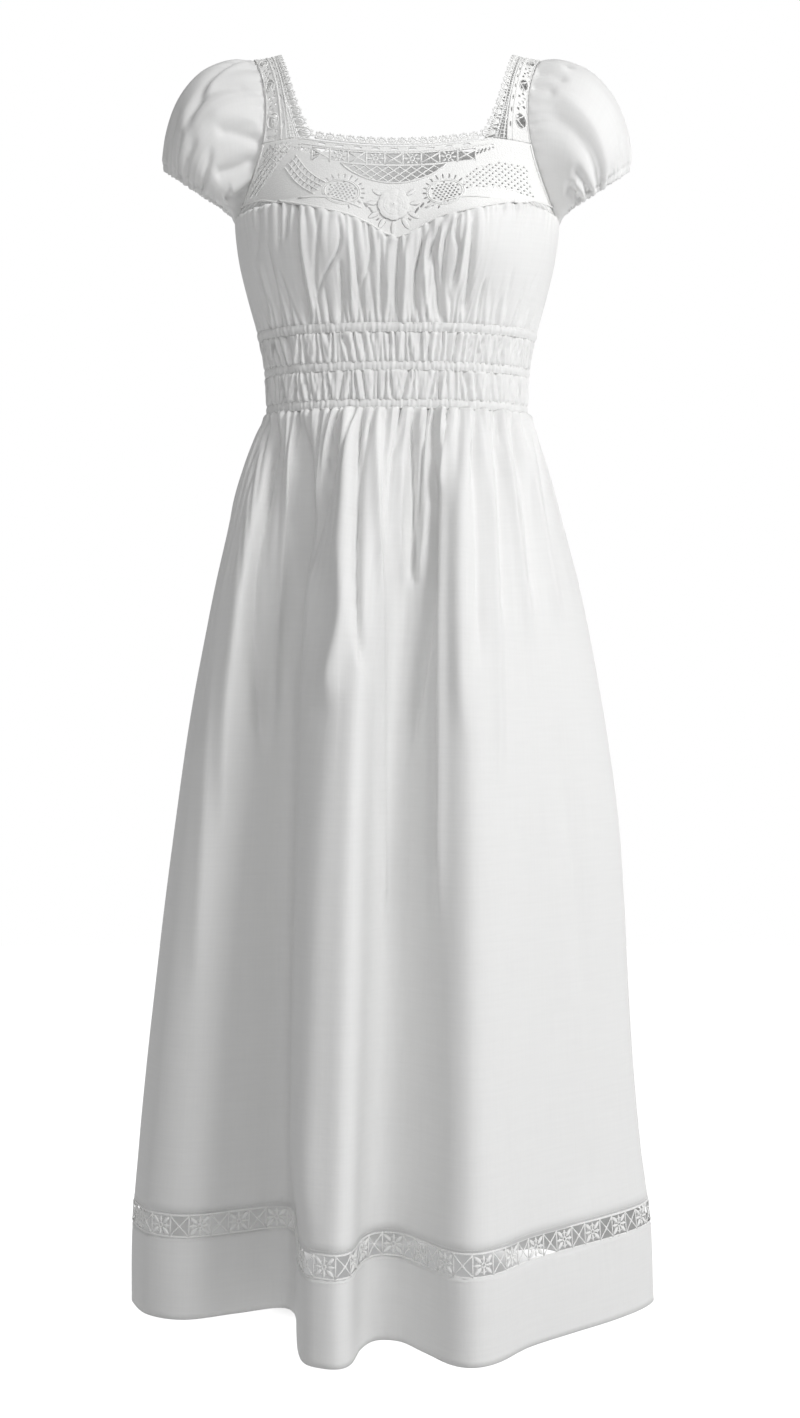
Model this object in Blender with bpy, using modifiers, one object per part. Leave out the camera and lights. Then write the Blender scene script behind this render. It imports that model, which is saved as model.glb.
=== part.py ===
"""A white cotton sundress, hollow as it is worn.

It has puff sleeves, lace straps and yoke, a shirred waist and a long gathered skirt.

Metres, +Z up, +X to the right of someone who faces the front, and the front towards -Y.
The origin is midway between the two shoulders, where the straps bear on the wearer.
"""

import math
from collections import namedtuple
from functools import lru_cache

import bpy
import numpy as np

FRONT, BACK = -1, 1
LEFT, RIGHT = -1, 1

# Cloth
COTTON_WALL = 0.0012
LACE_WALL = 0.0014
CASING_WALL = 0.0020
HEM_WALL = 0.0018
SEAM_GAP = 0.0003
GATHERED_SEAM_GAP = 0.0008
YOKE_SEAM_GAP = 0.0013
EDGING_SEAM_GAP = 0.0006

# Heights
UNDERARM = -0.166
NECK_CORNER = -0.104
NECK_CORNER_BACK = -0.074
NECK_CENTRE_FRONT = -0.116
NECK_CENTRE_BACK = -0.070
BACK_YOKE_SEAM = -0.150
HEM = -1.236
LACE_LOW = HEM + 0.078
LACE_HIGH = HEM + 0.101
WAIST_CASINGS = (-0.286, -0.322, -0.358)
CASING_HEIGHT = 0.009
SIDE_SEAM_RISE = 0.006

# Widths
NECK_HALF_WIDTH = 0.089
STRAP_INNER_TOP = 0.115
NECK_ROUNDING = 0.015
NECK_ROUNDING_REACH = 0.045
STRAP_SHARE = 0.60
STRAP_LEAN = 1.2
STRAP_CLIMB = 0.9
SECTION_POWER = 2.4
NORMAL_STEP = 0.004

# Rough lengths of the panels round the body, and of a strap, which turn a gap into a share
BODICE_ARC = 0.36
WAIST_ARC = 0.34
SKIRT_ARC = 0.85
STRAP_ARC = 0.30
STRAP_LACE_WIDTH = 0.017
STRAP_WIDTH = 0.032

# Gathers: each count is for one panel, and there are under 200 in all
BUST_GATHERS = 20
BACK_GATHERS = 12
WAIST_GATHERS = 22
SLEEVE_GATHERS = 11
GATHER_CALM = 0.75
SEAM_GATHER_SHARE = 0.35
BODICE_GATHER_DEPTH = 0.0024
WAIST_GATHER_DEPTH = 0.0018
CASING_PROUD = 0.0008
CASING_COLUMNS = 20

# Body sections of a general figure, with the depth in front of the side seam and behind it
Section = namedtuple("Section", "height half_width front back")
BODY = (
    Section(-0.100, 0.150, 0.102, 0.086),
    Section(-0.120, 0.153, 0.109, 0.090),
    Section(-0.140, 0.157, 0.116, 0.095),
    Section(-0.166, 0.1605, 0.122, 0.100),
    Section(-0.200, 0.158, 0.123, 0.102),
    Section(-0.236, 0.150, 0.115, 0.098),
    Section(-0.262, 0.1425, 0.104, 0.093),
    Section(-0.286, 0.1355, 0.097, 0.090),
    Section(-0.322, 0.1295, 0.093, 0.088),
    Section(-0.358, 0.128, 0.092, 0.088),
    Section(-0.380, 0.128, 0.092, 0.088),
)

# Fullness that the cut of the front gives over the bust
BUST_OUT = 0.009
BUST_AT = 0.072
BUST_HEIGHT = -0.198
BUST_SPREAD = 0.036

# Armhole: a leaning ellipse, bowed inwards at the front and back
ARMHOLE_X = 0.151
ARMHOLE_HEIGHT = -0.085
ARMHOLE_HALF = 0.081
ARMHOLE_LEAN = 0.093
ARMHOLE_FRONT = 0.072
ARMHOLE_BACK = 0.066
ARMHOLE_BOW = 0.024

# Lower edge of the front yoke, straight between these shares of the way from the centre to the armhole
YokeEdge = namedtuple("YokeEdge", "across height")
YOKE_EDGE = (
    YokeEdge(0.00, -0.2070),
    YokeEdge(0.08, -0.2030),
    YokeEdge(0.16, -0.1950),
    YokeEdge(0.27, -0.1870),
    YokeEdge(0.45, -0.1795),
    YokeEdge(0.68, -0.1680),
    YokeEdge(0.84, -0.1605),
    YokeEdge(1.00, -0.1570),
)

# Sleeve sections fan out from the underarm: upper and lower ends in X and Z, half depth,
# and how far the gathers stand
SleeveSection = namedtuple("SleeveSection", "along top_x top_z low_x low_z half_depth gather")
SLEEVE = (
    SleeveSection(0.00, 0.1437, -0.0046, 0.1585, -0.1660, 0.069, 0.0006),
    SleeveSection(0.16, 0.1630, -0.0040, 0.1600, -0.1650, 0.075, 0.0012),
    SleeveSection(0.38, 0.1960, -0.0180, 0.1610, -0.1635, 0.079, 0.0006),
    SleeveSection(0.58, 0.2190, -0.0460, 0.1620, -0.1615, 0.077, 0.0006),
    SleeveSection(0.76, 0.2300, -0.0780, 0.1630, -0.1590, 0.068, 0.0014),
    SleeveSection(0.92, 0.2310, -0.1040, 0.1640, -0.1560, 0.053, 0.0020),
    SleeveSection(1.00, 0.2295, -0.1120, 0.1650, -0.1550, 0.048, 0.0012),
)
CUFF_TILT = 0.20
SLEEVE_COLUMNS = 3 * SLEEVE_GATHERS

# Hem seen from above: crests and troughs of the folds, from the left side seam round the front,
# then round the back
Fold = namedtuple("Fold", "x y")
FRONT_FOLDS = (
    Fold(-0.263, 0.000), Fold(-0.262, -0.018), Fold(-0.242, -0.060), Fold(-0.204, -0.077),
    Fold(-0.156, -0.057), Fold(-0.118, -0.038), Fold(-0.096, -0.062), Fold(-0.084, -0.150),
    Fold(-0.074, -0.207), Fold(-0.058, -0.223), Fold(-0.043, -0.212), Fold(-0.034, -0.160),
    Fold(-0.019, -0.139), Fold(0.004, -0.144), Fold(0.025, -0.176), Fold(0.047, -0.209),
    Fold(0.069, -0.218), Fold(0.093, -0.202), Fold(0.124, -0.159), Fold(0.165, -0.119),
    Fold(0.208, -0.079), Fold(0.238, -0.046), Fold(0.254, -0.018), Fold(0.255, 0.000),
)
BACK_FOLDS = (
    Fold(0.255, 0.000), Fold(0.254, 0.018), Fold(0.240, 0.052), Fold(0.206, 0.086),
    Fold(0.196, 0.132), Fold(0.158, 0.176), Fold(0.118, 0.168), Fold(0.092, 0.196),
    Fold(0.058, 0.222), Fold(0.022, 0.196), Fold(-0.010, 0.186), Fold(-0.040, 0.212),
    Fold(-0.078, 0.216), Fold(-0.104, 0.174), Fold(-0.136, 0.158), Fold(-0.172, 0.170),
    Fold(-0.200, 0.136), Fold(-0.212, 0.092), Fold(-0.248, 0.056), Fold(-0.262, 0.018),
    Fold(-0.263, 0.000),
)

# How far the skirt has opened from the waist's section to the hem's, on its left and right
Flare = namedtuple("Flare", "height left right")
FLARE = (
    Flare(-0.350, 0.000, 0.000), Flare(-0.362, 0.010, 0.010), Flare(-0.380, 0.080, 0.078),
    Flare(-0.400, 0.150, 0.145), Flare(-0.440, 0.250, 0.245), Flare(-0.480, 0.320, 0.330),
    Flare(-0.520, 0.388, 0.413), Flare(-0.600, 0.500, 0.540), Flare(-0.680, 0.597, 0.643),
    Flare(-0.760, 0.679, 0.722), Flare(-0.840, 0.754, 0.765), Flare(-0.920, 0.821, 0.800),
    Flare(-1.000, 0.888, 0.841), Flare(-1.080, 0.948, 0.897), Flare(-1.160, 0.993, 0.972),
    Flare(-1.236, 1.000, 1.000),
)
SKIRT_LEVELS = (-0.363, -0.385, -0.425, -0.490, -0.580, -0.700, -0.850, -1.010, LACE_HIGH + SEAM_GAP)
SKIRT_GATHER_DEPTH = 0.0034
SKIRT_GATHER_FADE = 0.060
SEAM_CALM = 6
SKIRT_DRAPE_COUNT = 8
SKIRT_DRAPE_DEPTH = 0.0060
SKIRT_DRAPE_HEIGHT = -0.470
SKIRT_DRAPE_SPREAD = 0.110

# Ladder lace: open squares crossed by two bars, and closed squares between them
LACE_REPEATS = 23
STRAP_REPEATS = 7
OPEN_SHARE = 0.46
LACE_RAIL = 0.0020
LACE_POST = 0.0012
LACE_BAR = 0.0012

# Yoke lace: the neckline's open squares and the net below them
NECK_EDGING = 0.009
NECK_SQUARE_PITCH = 0.0345
NECK_SQUARE_WIDTH = 0.0160
NECK_SQUARE_HEIGHT = 0.0110
NET_PITCH = 0.0110
NET_ROW = 0.0041
NET_GAP = 0.0052
NET_HOLE_WIDTH = 0.0080
NET_HOLE_HEIGHT = 0.0050
NET_ROW_COUNTS = (9, 8, 7, 4)
PATTERN_CENTRE = -0.0030
ROSETTE_HEIGHT = -0.1760
ROSETTE_RADIUS = 0.0145
ROSETTE_PETALS = 8
ROSETTE_PETAL_SHARE = 0.07
RosetteRing = namedtuple("RosetteRing", "reach lift")
ROSETTE_RINGS = (RosetteRing(0.30, 0.0008), RosetteRing(0.62, 0.0015), RosetteRing(1.00, 0.0001))
ROSETTE_THICKNESS = 0.0012
CUTTER_FRONT, CUTTER_BACK = -0.16, -0.05
SCALLOP = 0.0125
SCALLOP_DEPTH = 0.0026
SCALLOP_HEIGHT = 0.0055

MATERIALS = {
    "cotton": ((0.86, 0.86, 0.85), 0.80),
    "crochet": ((0.90, 0.90, 0.89), 0.85),
}


def table_at(rows, key, column, at):
    """A smooth curve through one column of a table."""
    keys = np.array([getattr(row, key) for row in rows])
    values = np.array([getattr(row, column) for row in rows])
    if keys[0] > keys[-1]:
        keys, values = keys[::-1], values[::-1]
    slopes = np.gradient(values, keys)
    at = np.clip(at, keys[0], keys[-1])
    i = np.clip(np.searchsorted(keys, at, side="right") - 1, 0, len(keys) - 2)
    width = keys[i + 1] - keys[i]
    t = (at - keys[i]) / width
    return (
        (2 * t**3 - 3 * t**2 + 1) * values[i]
        + (t**3 - 2 * t**2 + t) * width * slopes[i]
        + (3 * t**2 - 2 * t**3) * values[i + 1]
        + (t**3 - t**2) * width * slopes[i + 1]
    )


def armhole(side, turn):
    """A point of the armhole. Turn is -90 degrees at the underarm, 0 in front and 90 on the shoulder."""
    up, forward = np.sin(turn), np.cos(turn)
    reach = np.where(forward > 0, ARMHOLE_FRONT, ARMHOLE_BACK)
    x = ARMHOLE_X - ARMHOLE_LEAN * ARMHOLE_HALF * up - ARMHOLE_BOW * forward**2
    return np.array([side * x, -reach * forward, ARMHOLE_HEIGHT + ARMHOLE_HALF * up])


def panel_edge(face, height):
    """Where a panel ends at this height: at the side seam, or above the underarm at the armhole."""
    if height <= UNDERARM:
        return table_at(BODY, "height", "half_width", height), 0.0
    turn = math.asin(min(1.0, max(-1.0, (height - ARMHOLE_HEIGHT) / ARMHOLE_HALF)))
    if face == BACK:
        turn = math.pi - turn
    x, y, _ = armhole(RIGHT, turn)
    return x, y


def body_depth(face, x, height):
    """Y of the front or back of the body at x and height."""
    edge_x, edge_y = panel_edge(face, height)
    wide = table_at(BODY, "height", "half_width", height)
    deep = table_at(BODY, "height", "front" if face == FRONT else "back", height)

    def plain(across):
        share = np.clip(np.abs(across) / wide, 0, 1)
        return face * deep * (1 - share**SECTION_POWER) ** (1 / SECTION_POWER)

    y = plain(x) + (edge_y - plain(edge_x)) * (np.abs(x) / edge_x) ** 3
    if face == FRONT:
        near = ((np.abs(x) - BUST_AT) / BUST_SPREAD) ** 2 + ((height - BUST_HEIGHT) / BUST_SPREAD) ** 2
        y = y - BUST_OUT * np.exp(-near)
    return y


def evenly(x, y, shares):
    """Points at these shares of a line's length, and the outward direction there."""
    run = np.concatenate([[0], np.cumsum(np.hypot(np.diff(x), np.diff(y)))])
    at = np.asarray(shares) * run[-1]
    step = run[-1] * NORMAL_STEP
    before, after = np.clip(at - step, 0, run[-1]), np.clip(at + step, 0, run[-1])
    along_x = np.interp(after, run, x) - np.interp(before, run, x)
    along_y = np.interp(after, run, y) - np.interp(before, run, y)
    size = np.hypot(along_x, along_y)
    return np.interp(at, run, x), np.interp(at, run, y), along_y / size, -along_x / size


@lru_cache(maxsize=None)
def body_line(face, height, samples=121):
    """The body's outline at a height: the front from left to right, or the back from right to left."""
    edge_x, _ = panel_edge(face, height)
    x = -face * edge_x * np.sin(np.linspace(-math.pi / 2, math.pi / 2, samples))
    return x, body_depth(face, x, height)


@lru_cache(maxsize=None)
def fold_line(face, samples=12):
    """The hem's outline, a smooth curve through the crests and troughs."""
    rows = FRONT_FOLDS if face == FRONT else BACK_FOLDS
    points = np.array([(row.x, row.y) for row in rows])
    lead = points[1:2] * (1, -1)
    tail = points[-2:-1] * (1, -1)
    held = np.concatenate([lead, points, tail])
    made = []
    for a, b, c, d in zip(held[:-3], held[1:-2], held[2:-1], held[3:]):
        for t in np.linspace(0, 1, samples, endpoint=False):
            bend = (2 * a - 5 * b + 4 * c - d) * t**2 + (3 * b - a - 3 * c + d) * t**3
            made.append(b + ((c - a) * t + bend) / 2)
    made.append(points[-1])
    return np.array(made).T


def trimmed(shares, length):
    """Shares across a panel of this length, drawn in at both side seams by half the gap."""
    margin = SEAM_GAP / 2 / length
    return margin + np.asarray(shares) * (1 - 2 * margin)


def bodice_point(face, share, height, out=0.0):
    x, y, out_x, out_y = evenly(*body_line(face, height), share)
    return np.array([x + out * out_x, y + out * out_y, height])


def waist_height(height, share):
    """Waist seams rise towards the side seams."""
    return height + SIDE_SEAM_RISE * abs(2 * share - 1) ** 3


def yoke_edge_height(across):
    rows = np.array(YOKE_EDGE)
    return float(np.interp(abs(across), rows[:, 0], rows[:, 1]))


def neck_height(x, centre=NECK_CENTRE_FRONT, corner=NECK_CORNER):
    share = min(1.0, abs(x) / NECK_HALF_WIDTH)
    return centre + (corner - centre) * share**2


def back_neck_height(x):
    return neck_height(x, NECK_CENTRE_BACK, NECK_CORNER_BACK)


def skirt_point(face, share, height, gathers=0.0):
    """A point of the skirt: the waist's section, opened towards the folds of the hem."""
    top_x, top_y, out_x, out_y = evenly(*body_line(face, WAIST_CASINGS[-1]), share)
    low_x, low_y, _, _ = evenly(*fold_line(face), share)
    to_right = share if face == FRONT else 1 - share
    opened = (1 - to_right) * table_at(FLARE, "height", "left", height)
    opened += to_right * table_at(FLARE, "height", "right", height)
    drape = math.exp(-(((height - SKIRT_DRAPE_HEIGHT) / SKIRT_DRAPE_SPREAD) ** 2))
    drape *= SKIRT_DRAPE_DEPTH * math.sin(2 * math.pi * SKIRT_DRAPE_COUNT * share)
    drape *= math.sin(math.pi * share) ** 0.5
    out = gathers + drape
    return np.array([
        top_x + (low_x - top_x) * opened + out_x * out,
        top_y + (low_y - top_y) * opened + out_y * out,
        height,
    ])


def sleeve_point(side, along, turn):
    """A point of the sleeve: an ellipse whose long axis runs from the underarm to the crown."""
    top_x, top_z, low_x, low_z, deep, gather = (
        table_at(SLEEVE, "along", column, along) for column in SleeveSection._fields[1:]
    )
    up, forward = math.sin(turn), math.cos(turn)
    deep *= ARMHOLE_BACK / ARMHOLE_FRONT if forward < 0 else 1.0
    bow = ARMHOLE_BOW * forward**2 * (1 - along) ** 2
    wave = 1 + gather * math.cos(SLEEVE_GATHERS * turn) / deep
    mid_x, mid_z = (top_x + low_x) / 2, (top_z + low_z) / 2
    half_x, half_z = (top_x - low_x) / 2, (top_z - low_z) / 2
    x = mid_x + half_x * up * wave - bow + EDGING_SEAM_GAP
    y = -deep * forward * wave
    return np.array([side * x, y, mid_z + half_z * up * wave + CUFF_TILT * y * along**2])


def strap_point(side, along, across):
    """A point of a strap: along runs over the shoulder to the back, across runs to the neck."""
    start = math.asin((NECK_CORNER - ARMHOLE_HEIGHT) / ARMHOLE_HALF)
    end = math.pi - math.asin((NECK_CORNER_BACK - ARMHOLE_HEIGHT) / ARMHOLE_HALF)
    outer = armhole(side, start + along * (end - start))
    face, corner_height = (FRONT, NECK_CORNER) if along < 0.5 else (BACK, NECK_CORNER_BACK)
    climb = along * math.pi
    neck_x = NECK_HALF_WIDTH + (STRAP_INNER_TOP - NECK_HALF_WIDTH) * math.sin(climb) ** STRAP_LEAN
    depth = abs(body_depth(face, NECK_HALF_WIDTH, corner_height))
    neck_y = -depth * math.cos(climb)
    neck_z = corner_height * (1 - math.sin(climb) ** STRAP_CLIMB)
    inner = np.array([side * neck_x, neck_y, neck_z])
    corner = max(0.0, across - STRAP_SHARE) / (1 - STRAP_SHARE)
    rounding = NECK_ROUNDING * corner * math.exp(-min(along, 1 - along) / NECK_ROUNDING_REACH)
    return outer + (inner - outer) * across - np.array([side * rounding, 0.0, 0.0])


def make_material(name, colour, roughness):
    material = bpy.data.materials.new(name)
    material.use_nodes = True
    shader = material.node_tree.nodes["Principled BSDF"]
    shader.inputs["Base Color"].default_value = (*colour, 1.0)
    shader.inputs["Roughness"].default_value = roughness
    shader.inputs["Metallic"].default_value = 0.0
    return material


def add_cloth(name, points, faces, wall, material):
    """One piece of cloth: an open surface with a wall on its inner side."""
    mesh = bpy.data.meshes.new(name)
    mesh.from_pydata([tuple(float(v) for v in point) for point in points], [], faces)
    mesh.validate()
    piece = bpy.data.objects.new(name, mesh)
    dress.objects.link(piece)
    mesh.materials.append(make_material(name, *MATERIALS[material]))
    mesh.shade_smooth()
    solid = piece.modifiers.new("wall", "SOLIDIFY")
    solid.thickness = wall
    solid.offset = -1.0
    return piece


def grid_faces(rows, columns, closed=False, flip=False):
    """Faces between rows of points, each row running the way that its outside asks."""
    faces = []
    for row in range(rows - 1):
        for column in range(columns if closed else columns - 1):
            beside = (column + 1) % columns
            low, high = row * columns, (row + 1) * columns
            face = (low + column, low + beside, high + beside, high + column)
            faces.append(face[::-1] if flip else face)
    return faces


def add_panel(name, rows, wall, material, closed=False, flip=False):
    """Cloth through rows of points, which hold equally many."""
    points = [point for row in rows for point in row]
    return add_cloth(name, points, grid_faces(len(rows), len(rows[0]), closed, flip), wall, material)


def gather_wave(count, share):
    """Gathers across a panel, which lie flat at its side seams."""
    calm = min(1.0, GATHER_CALM * count * share, GATHER_CALM * count * (1 - share))
    return -calm * math.cos(2 * math.pi * count * share)


def bodice_panel(name, face, count, levels, low_of, high_of):
    """A gathered bodice panel between its lower and upper seams."""
    shares = trimmed(np.linspace(0, 1, count * 3 + 1), BODICE_ARC)
    rows = []
    for level in levels:
        swell = math.sin(math.pi * level) ** 0.5
        depth = BODICE_GATHER_DEPTH * (SEAM_GATHER_SHARE + (1 - SEAM_GATHER_SHARE) * swell)
        row = []
        for share in shares:
            low, high = low_of(share), high_of(share)
            height = low + level * (high - low)
            row.append(bodice_point(face, share, height, depth * gather_wave(count, share)))
        rows.append(row)
    add_panel(name, rows, COTTON_WALL, "cotton")


def front_seam_height(share):
    """Height of the yoke's seam on the gathered front, found on the body's outline."""
    height = YOKE_EDGE[-1].height
    for _ in range(4):
        x, _, _ = bodice_point(FRONT, share, height)
        across = x / panel_edge(FRONT, height)[0]
        height = yoke_edge_height(across)
    return height - YOKE_SEAM_GAP * (1 + 0.5 * across**2)


def back_seam_height(_):
    return BACK_YOKE_SEAM - GATHERED_SEAM_GAP


def build_bodice():
    seam = WAIST_CASINGS[0] + CASING_HEIGHT / 2 + GATHERED_SEAM_GAP

    def low(share):
        return waist_height(seam, share)

    bodice_panel("bodice_front", FRONT, BUST_GATHERS, (0, 0.18, 0.6, 1), low, front_seam_height)
    bodice_panel("bodice_back", BACK, BACK_GATHERS, (0, 0.2, 0.6, 1), low, back_seam_height)


def casing_row(face, shares, height):
    return [bodice_point(face, share, waist_height(height, share), CASING_PROUD) for share in shares]


def shirred_row(face, shares, height):
    row = []
    for share in shares:
        out = WAIST_GATHER_DEPTH * gather_wave(WAIST_GATHERS, share)
        row.append(bodice_point(face, share, waist_height(height, share), out))
    return row


def build_waist():
    half = CASING_HEIGHT / 2
    gap = half + GATHERED_SEAM_GAP
    for face, word in ((FRONT, "front"), (BACK, "back")):
        plain = trimmed(np.linspace(0, 1, CASING_COLUMNS + 1), WAIST_ARC)
        for number, middle in enumerate(WAIST_CASINGS, start=1):
            rows = [casing_row(face, plain, height) for height in (middle - half, middle + half)]
            add_panel(f"waist_casing_{number}_{word}", rows, CASING_WALL, "cotton")
        gathered = trimmed(np.linspace(0, 1, WAIST_GATHERS * 2 + 1), WAIST_ARC)
        for number, (high, low) in enumerate(zip(WAIST_CASINGS, WAIST_CASINGS[1:]), start=1):
            rows = [shirred_row(face, gathered, height) for height in (low + gap, high - gap)]
            add_panel(f"waist_shirring_{number}_{word}", rows, COTTON_WALL, "cotton")


def skirt_columns():
    """Shares across the skirt at which its columns lie, in step with the lace below."""
    edges = [0.0]
    for repeat in range(LACE_REPEATS):
        edges.append((repeat + (1 - OPEN_SHARE) / 2) / LACE_REPEATS)
        edges.append((repeat + (1 + OPEN_SHARE) / 2) / LACE_REPEATS)
    return trimmed(edges + [1.0], SKIRT_ARC)


def build_skirt():
    top = WAIST_CASINGS[-1] - CASING_HEIGHT / 2 - GATHERED_SEAM_GAP
    shares = skirt_columns()
    for face, word in ((FRONT, "front"), (BACK, "back")):
        rows = []
        for level in SKIRT_LEVELS[::-1]:
            depth = SKIRT_GATHER_DEPTH * math.exp((level - SKIRT_LEVELS[0]) / SKIRT_GATHER_FADE)
            row = []
            for number, share in enumerate(shares):
                calm = min(1.0, SEAM_CALM * share, SEAM_CALM * (1 - share))
                height = waist_height(top, share) if level == SKIRT_LEVELS[0] else level
                row.append(skirt_point(face, share, height, depth * calm * (-1) ** number))
            rows.append(row)
        add_panel(f"skirt_{word}", rows, COTTON_WALL, "cotton")


def ladder_lace(name, point_at, repeats, length, height, flip=False):
    """A strip of ladder lace, about this long and high. point_at takes shares along and up it."""
    margin = SEAM_GAP / 2 / length
    points, index, faces = [], {}, []

    def corner(along, up):
        key = (round(along, 6), round(up, 6))
        if key not in index:
            index[key] = len(points)
            points.append(point_at(margin + (1 - 2 * margin) * along, up))
        return index[key]

    def face(*corners):
        made = tuple(corner(*each) for each in corners)
        faces.append(made[::-1] if flip else made)

    post, rail = LACE_POST / length, LACE_RAIL / height
    lean, rise = LACE_BAR / length, LACE_BAR / height
    edge = 0.0
    for repeat in range(repeats):
        left = (repeat + (1 - OPEN_SHARE) / 2) / repeats
        right = (repeat + (1 + OPEN_SHARE) / 2) / repeats
        middle = (left + right) / 2
        top = ((left + post + lean, 1 - rail), (right - post - lean, 1 - rail), (middle, 0.5 + rise))
        low = ((left + post + lean, rail), (right - post - lean, rail), (middle, 0.5 - rise))
        west = ((left + post, rail + rise), (left + post, 1 - rail - rise), (middle - lean, 0.5))
        east = ((right - post, rail + rise), (right - post, 1 - rail - rise), (middle + lean, 0.5))
        # The closed square, then the frame of the open one
        face((edge, 0), (left, 0), (left, 1), (edge, 1))
        face((left, 0), (right, 0), low[1], low[0])
        face(top[0], top[1], (right, 1), (left, 1))
        face((left, 0), west[0], west[1], (left, 1))
        face(east[0], (right, 0), (right, 1), east[1])
        face((left, 0), low[0], west[0])
        face((right, 0), east[0], low[1])
        face((left, 1), west[1], top[0])
        face((right, 1), top[1], east[1])
        # The two crossed bars
        face(low[0], low[2], west[2], west[0])
        face(low[1], east[0], east[2], low[2])
        face(west[1], west[2], top[2], top[0])
        face(east[1], top[1], top[2], east[2])
        face(low[2], east[2], top[2], west[2])
        edge = right
    face((edge, 0), (1, 0), (1, 1), (edge, 1))
    add_cloth(name, points, faces, LACE_WALL, "crochet")


def build_hem():
    shares = skirt_columns()
    for face, word in ((FRONT, "front"), (BACK, "back")):

        def lace_point(along, up, face=face):
            return skirt_point(face, along, LACE_LOW + up * (LACE_HIGH - LACE_LOW))

        ladder_lace(f"hem_lace_{word}", lace_point, LACE_REPEATS, SKIRT_ARC, LACE_HIGH - LACE_LOW)
        heights = (HEM, LACE_LOW - SEAM_GAP)
        rows = [[skirt_point(face, share, height) for share in shares] for height in heights]
        add_panel(f"hem_band_{word}", rows, HEM_WALL, "cotton")


def flat_prism(outline, depth_low, depth_high):
    """A closed prism along Y over an outline in X and Z."""
    count = len(outline)
    points = [(x, y, z) for y in (depth_low, depth_high) for x, z in outline]
    faces = [tuple(range(count)), tuple(range(2 * count - 1, count - 1, -1))]
    for number in range(count):
        after = (number + 1) % count
        faces.append((number, number + count, after + count, after))
    return points, faces


def yoke_openings():
    """Outlines in X and Z, anticlockwise, of the crossed squares and of the net below them."""
    outlines = []
    for number in range(-2, 3):
        middle = PATTERN_CENTRE + number * NECK_SQUARE_PITCH
        high = neck_height(middle) - NECK_EDGING
        low = high - NECK_SQUARE_HEIGHT
        left, right = middle - NECK_SQUARE_WIDTH / 2, middle + NECK_SQUARE_WIDTH / 2
        cross = (high + low) / 2
        outlines += [
            ((left + LACE_BAR, high), (middle, cross + LACE_BAR), (right - LACE_BAR, high)),
            ((left + LACE_BAR, low), (right - LACE_BAR, low), (middle, cross - LACE_BAR)),
            ((left, low + LACE_BAR), (middle - LACE_BAR, cross), (left, high - LACE_BAR)),
            ((right, low + LACE_BAR), (right, high - LACE_BAR), (middle + LACE_BAR, cross)),
        ]
    half_wide, half_high = NET_HOLE_WIDTH / 2, NET_HOLE_HEIGHT / 2
    for row, count in enumerate(NET_ROW_COUNTS):
        for number in range(count):
            x = PATTERN_CENTRE + (number - (count - 1) / 2) * NET_PITCH
            z = neck_height(x) - NECK_EDGING - NECK_SQUARE_HEIGHT - NET_GAP - NET_ROW * row
            level = ((x - half_wide, z), (x + half_wide, z))
            outlines.append((level[0], (x, z - half_high), level[1], (x, z + half_high)))
    return outlines


def yoke_rows(face, levels, low_of, neck_of):
    """Rows of points up a yoke, whose columns end at the armholes."""
    half = [row.across for row in YOKE_EDGE]
    rows = []
    for level in levels:
        row = []
        for across in [-share for share in half[:0:-1]] + half:
            height = UNDERARM
            for _ in range(8):
                x = -face * across * panel_edge(face, height)[0]
                low = low_of(across)
                height = low + level * (neck_of(x) - SEAM_GAP - low)
            row.append((x, float(body_depth(face, x, height)), height))
        rows.append(row)
    return rows


def build_yoke():
    rows = yoke_rows(FRONT, (0, 0.25, 0.5, 0.75, 1), yoke_edge_height, neck_height)
    yoke = add_panel("yoke_front", rows, LACE_WALL, "crochet")
    points, faces = [], []
    for outline in yoke_openings():
        prism_points, prism_faces = flat_prism(outline, CUTTER_FRONT, CUTTER_BACK)
        faces += [tuple(len(points) + corner for corner in face) for face in prism_faces]
        points += prism_points
    mesh = bpy.data.meshes.new("yoke_openings")
    mesh.from_pydata(points, [], faces)
    cutter = bpy.data.objects.new("yoke_openings", mesh)
    cutters.objects.link(cutter)
    cutter.hide_render = True
    cutter.display_type = "WIRE"
    cut = yoke.modifiers.new("openings", "BOOLEAN")
    cut.operation = "DIFFERENCE"
    cut.object = cutter

    rows = yoke_rows(BACK, (0, 0.35, 0.7, 1), lambda _: BACK_YOKE_SEAM, back_neck_height)
    add_panel("yoke_back", rows, COTTON_WALL, "cotton")


def build_rosette():
    """A thick crocheted rosette that lies on the yoke."""
    columns = ROSETTE_PETALS * 3
    rows = []
    for ring in ROSETTE_RINGS:
        row = []
        for number in range(columns):
            turn = 2 * math.pi * number / columns
            petal = 1 + ROSETTE_PETAL_SHARE * ring.reach * math.cos(ROSETTE_PETALS * turn)
            reach = ROSETTE_RADIUS * ring.reach * petal
            x, z = PATTERN_CENTRE + reach * math.cos(turn), ROSETTE_HEIGHT + reach * math.sin(turn)
            y = float(body_depth(FRONT, x, z)) - SEAM_GAP - ROSETTE_THICKNESS - ring.lift
            row.append((x, y, z))
        rows.append(row)
    faces = grid_faces(len(rows), columns, closed=True, flip=True) + [tuple(range(columns))]
    add_cloth("rosette", [point for row in rows for point in row], faces, ROSETTE_THICKNESS, "crochet")


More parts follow.
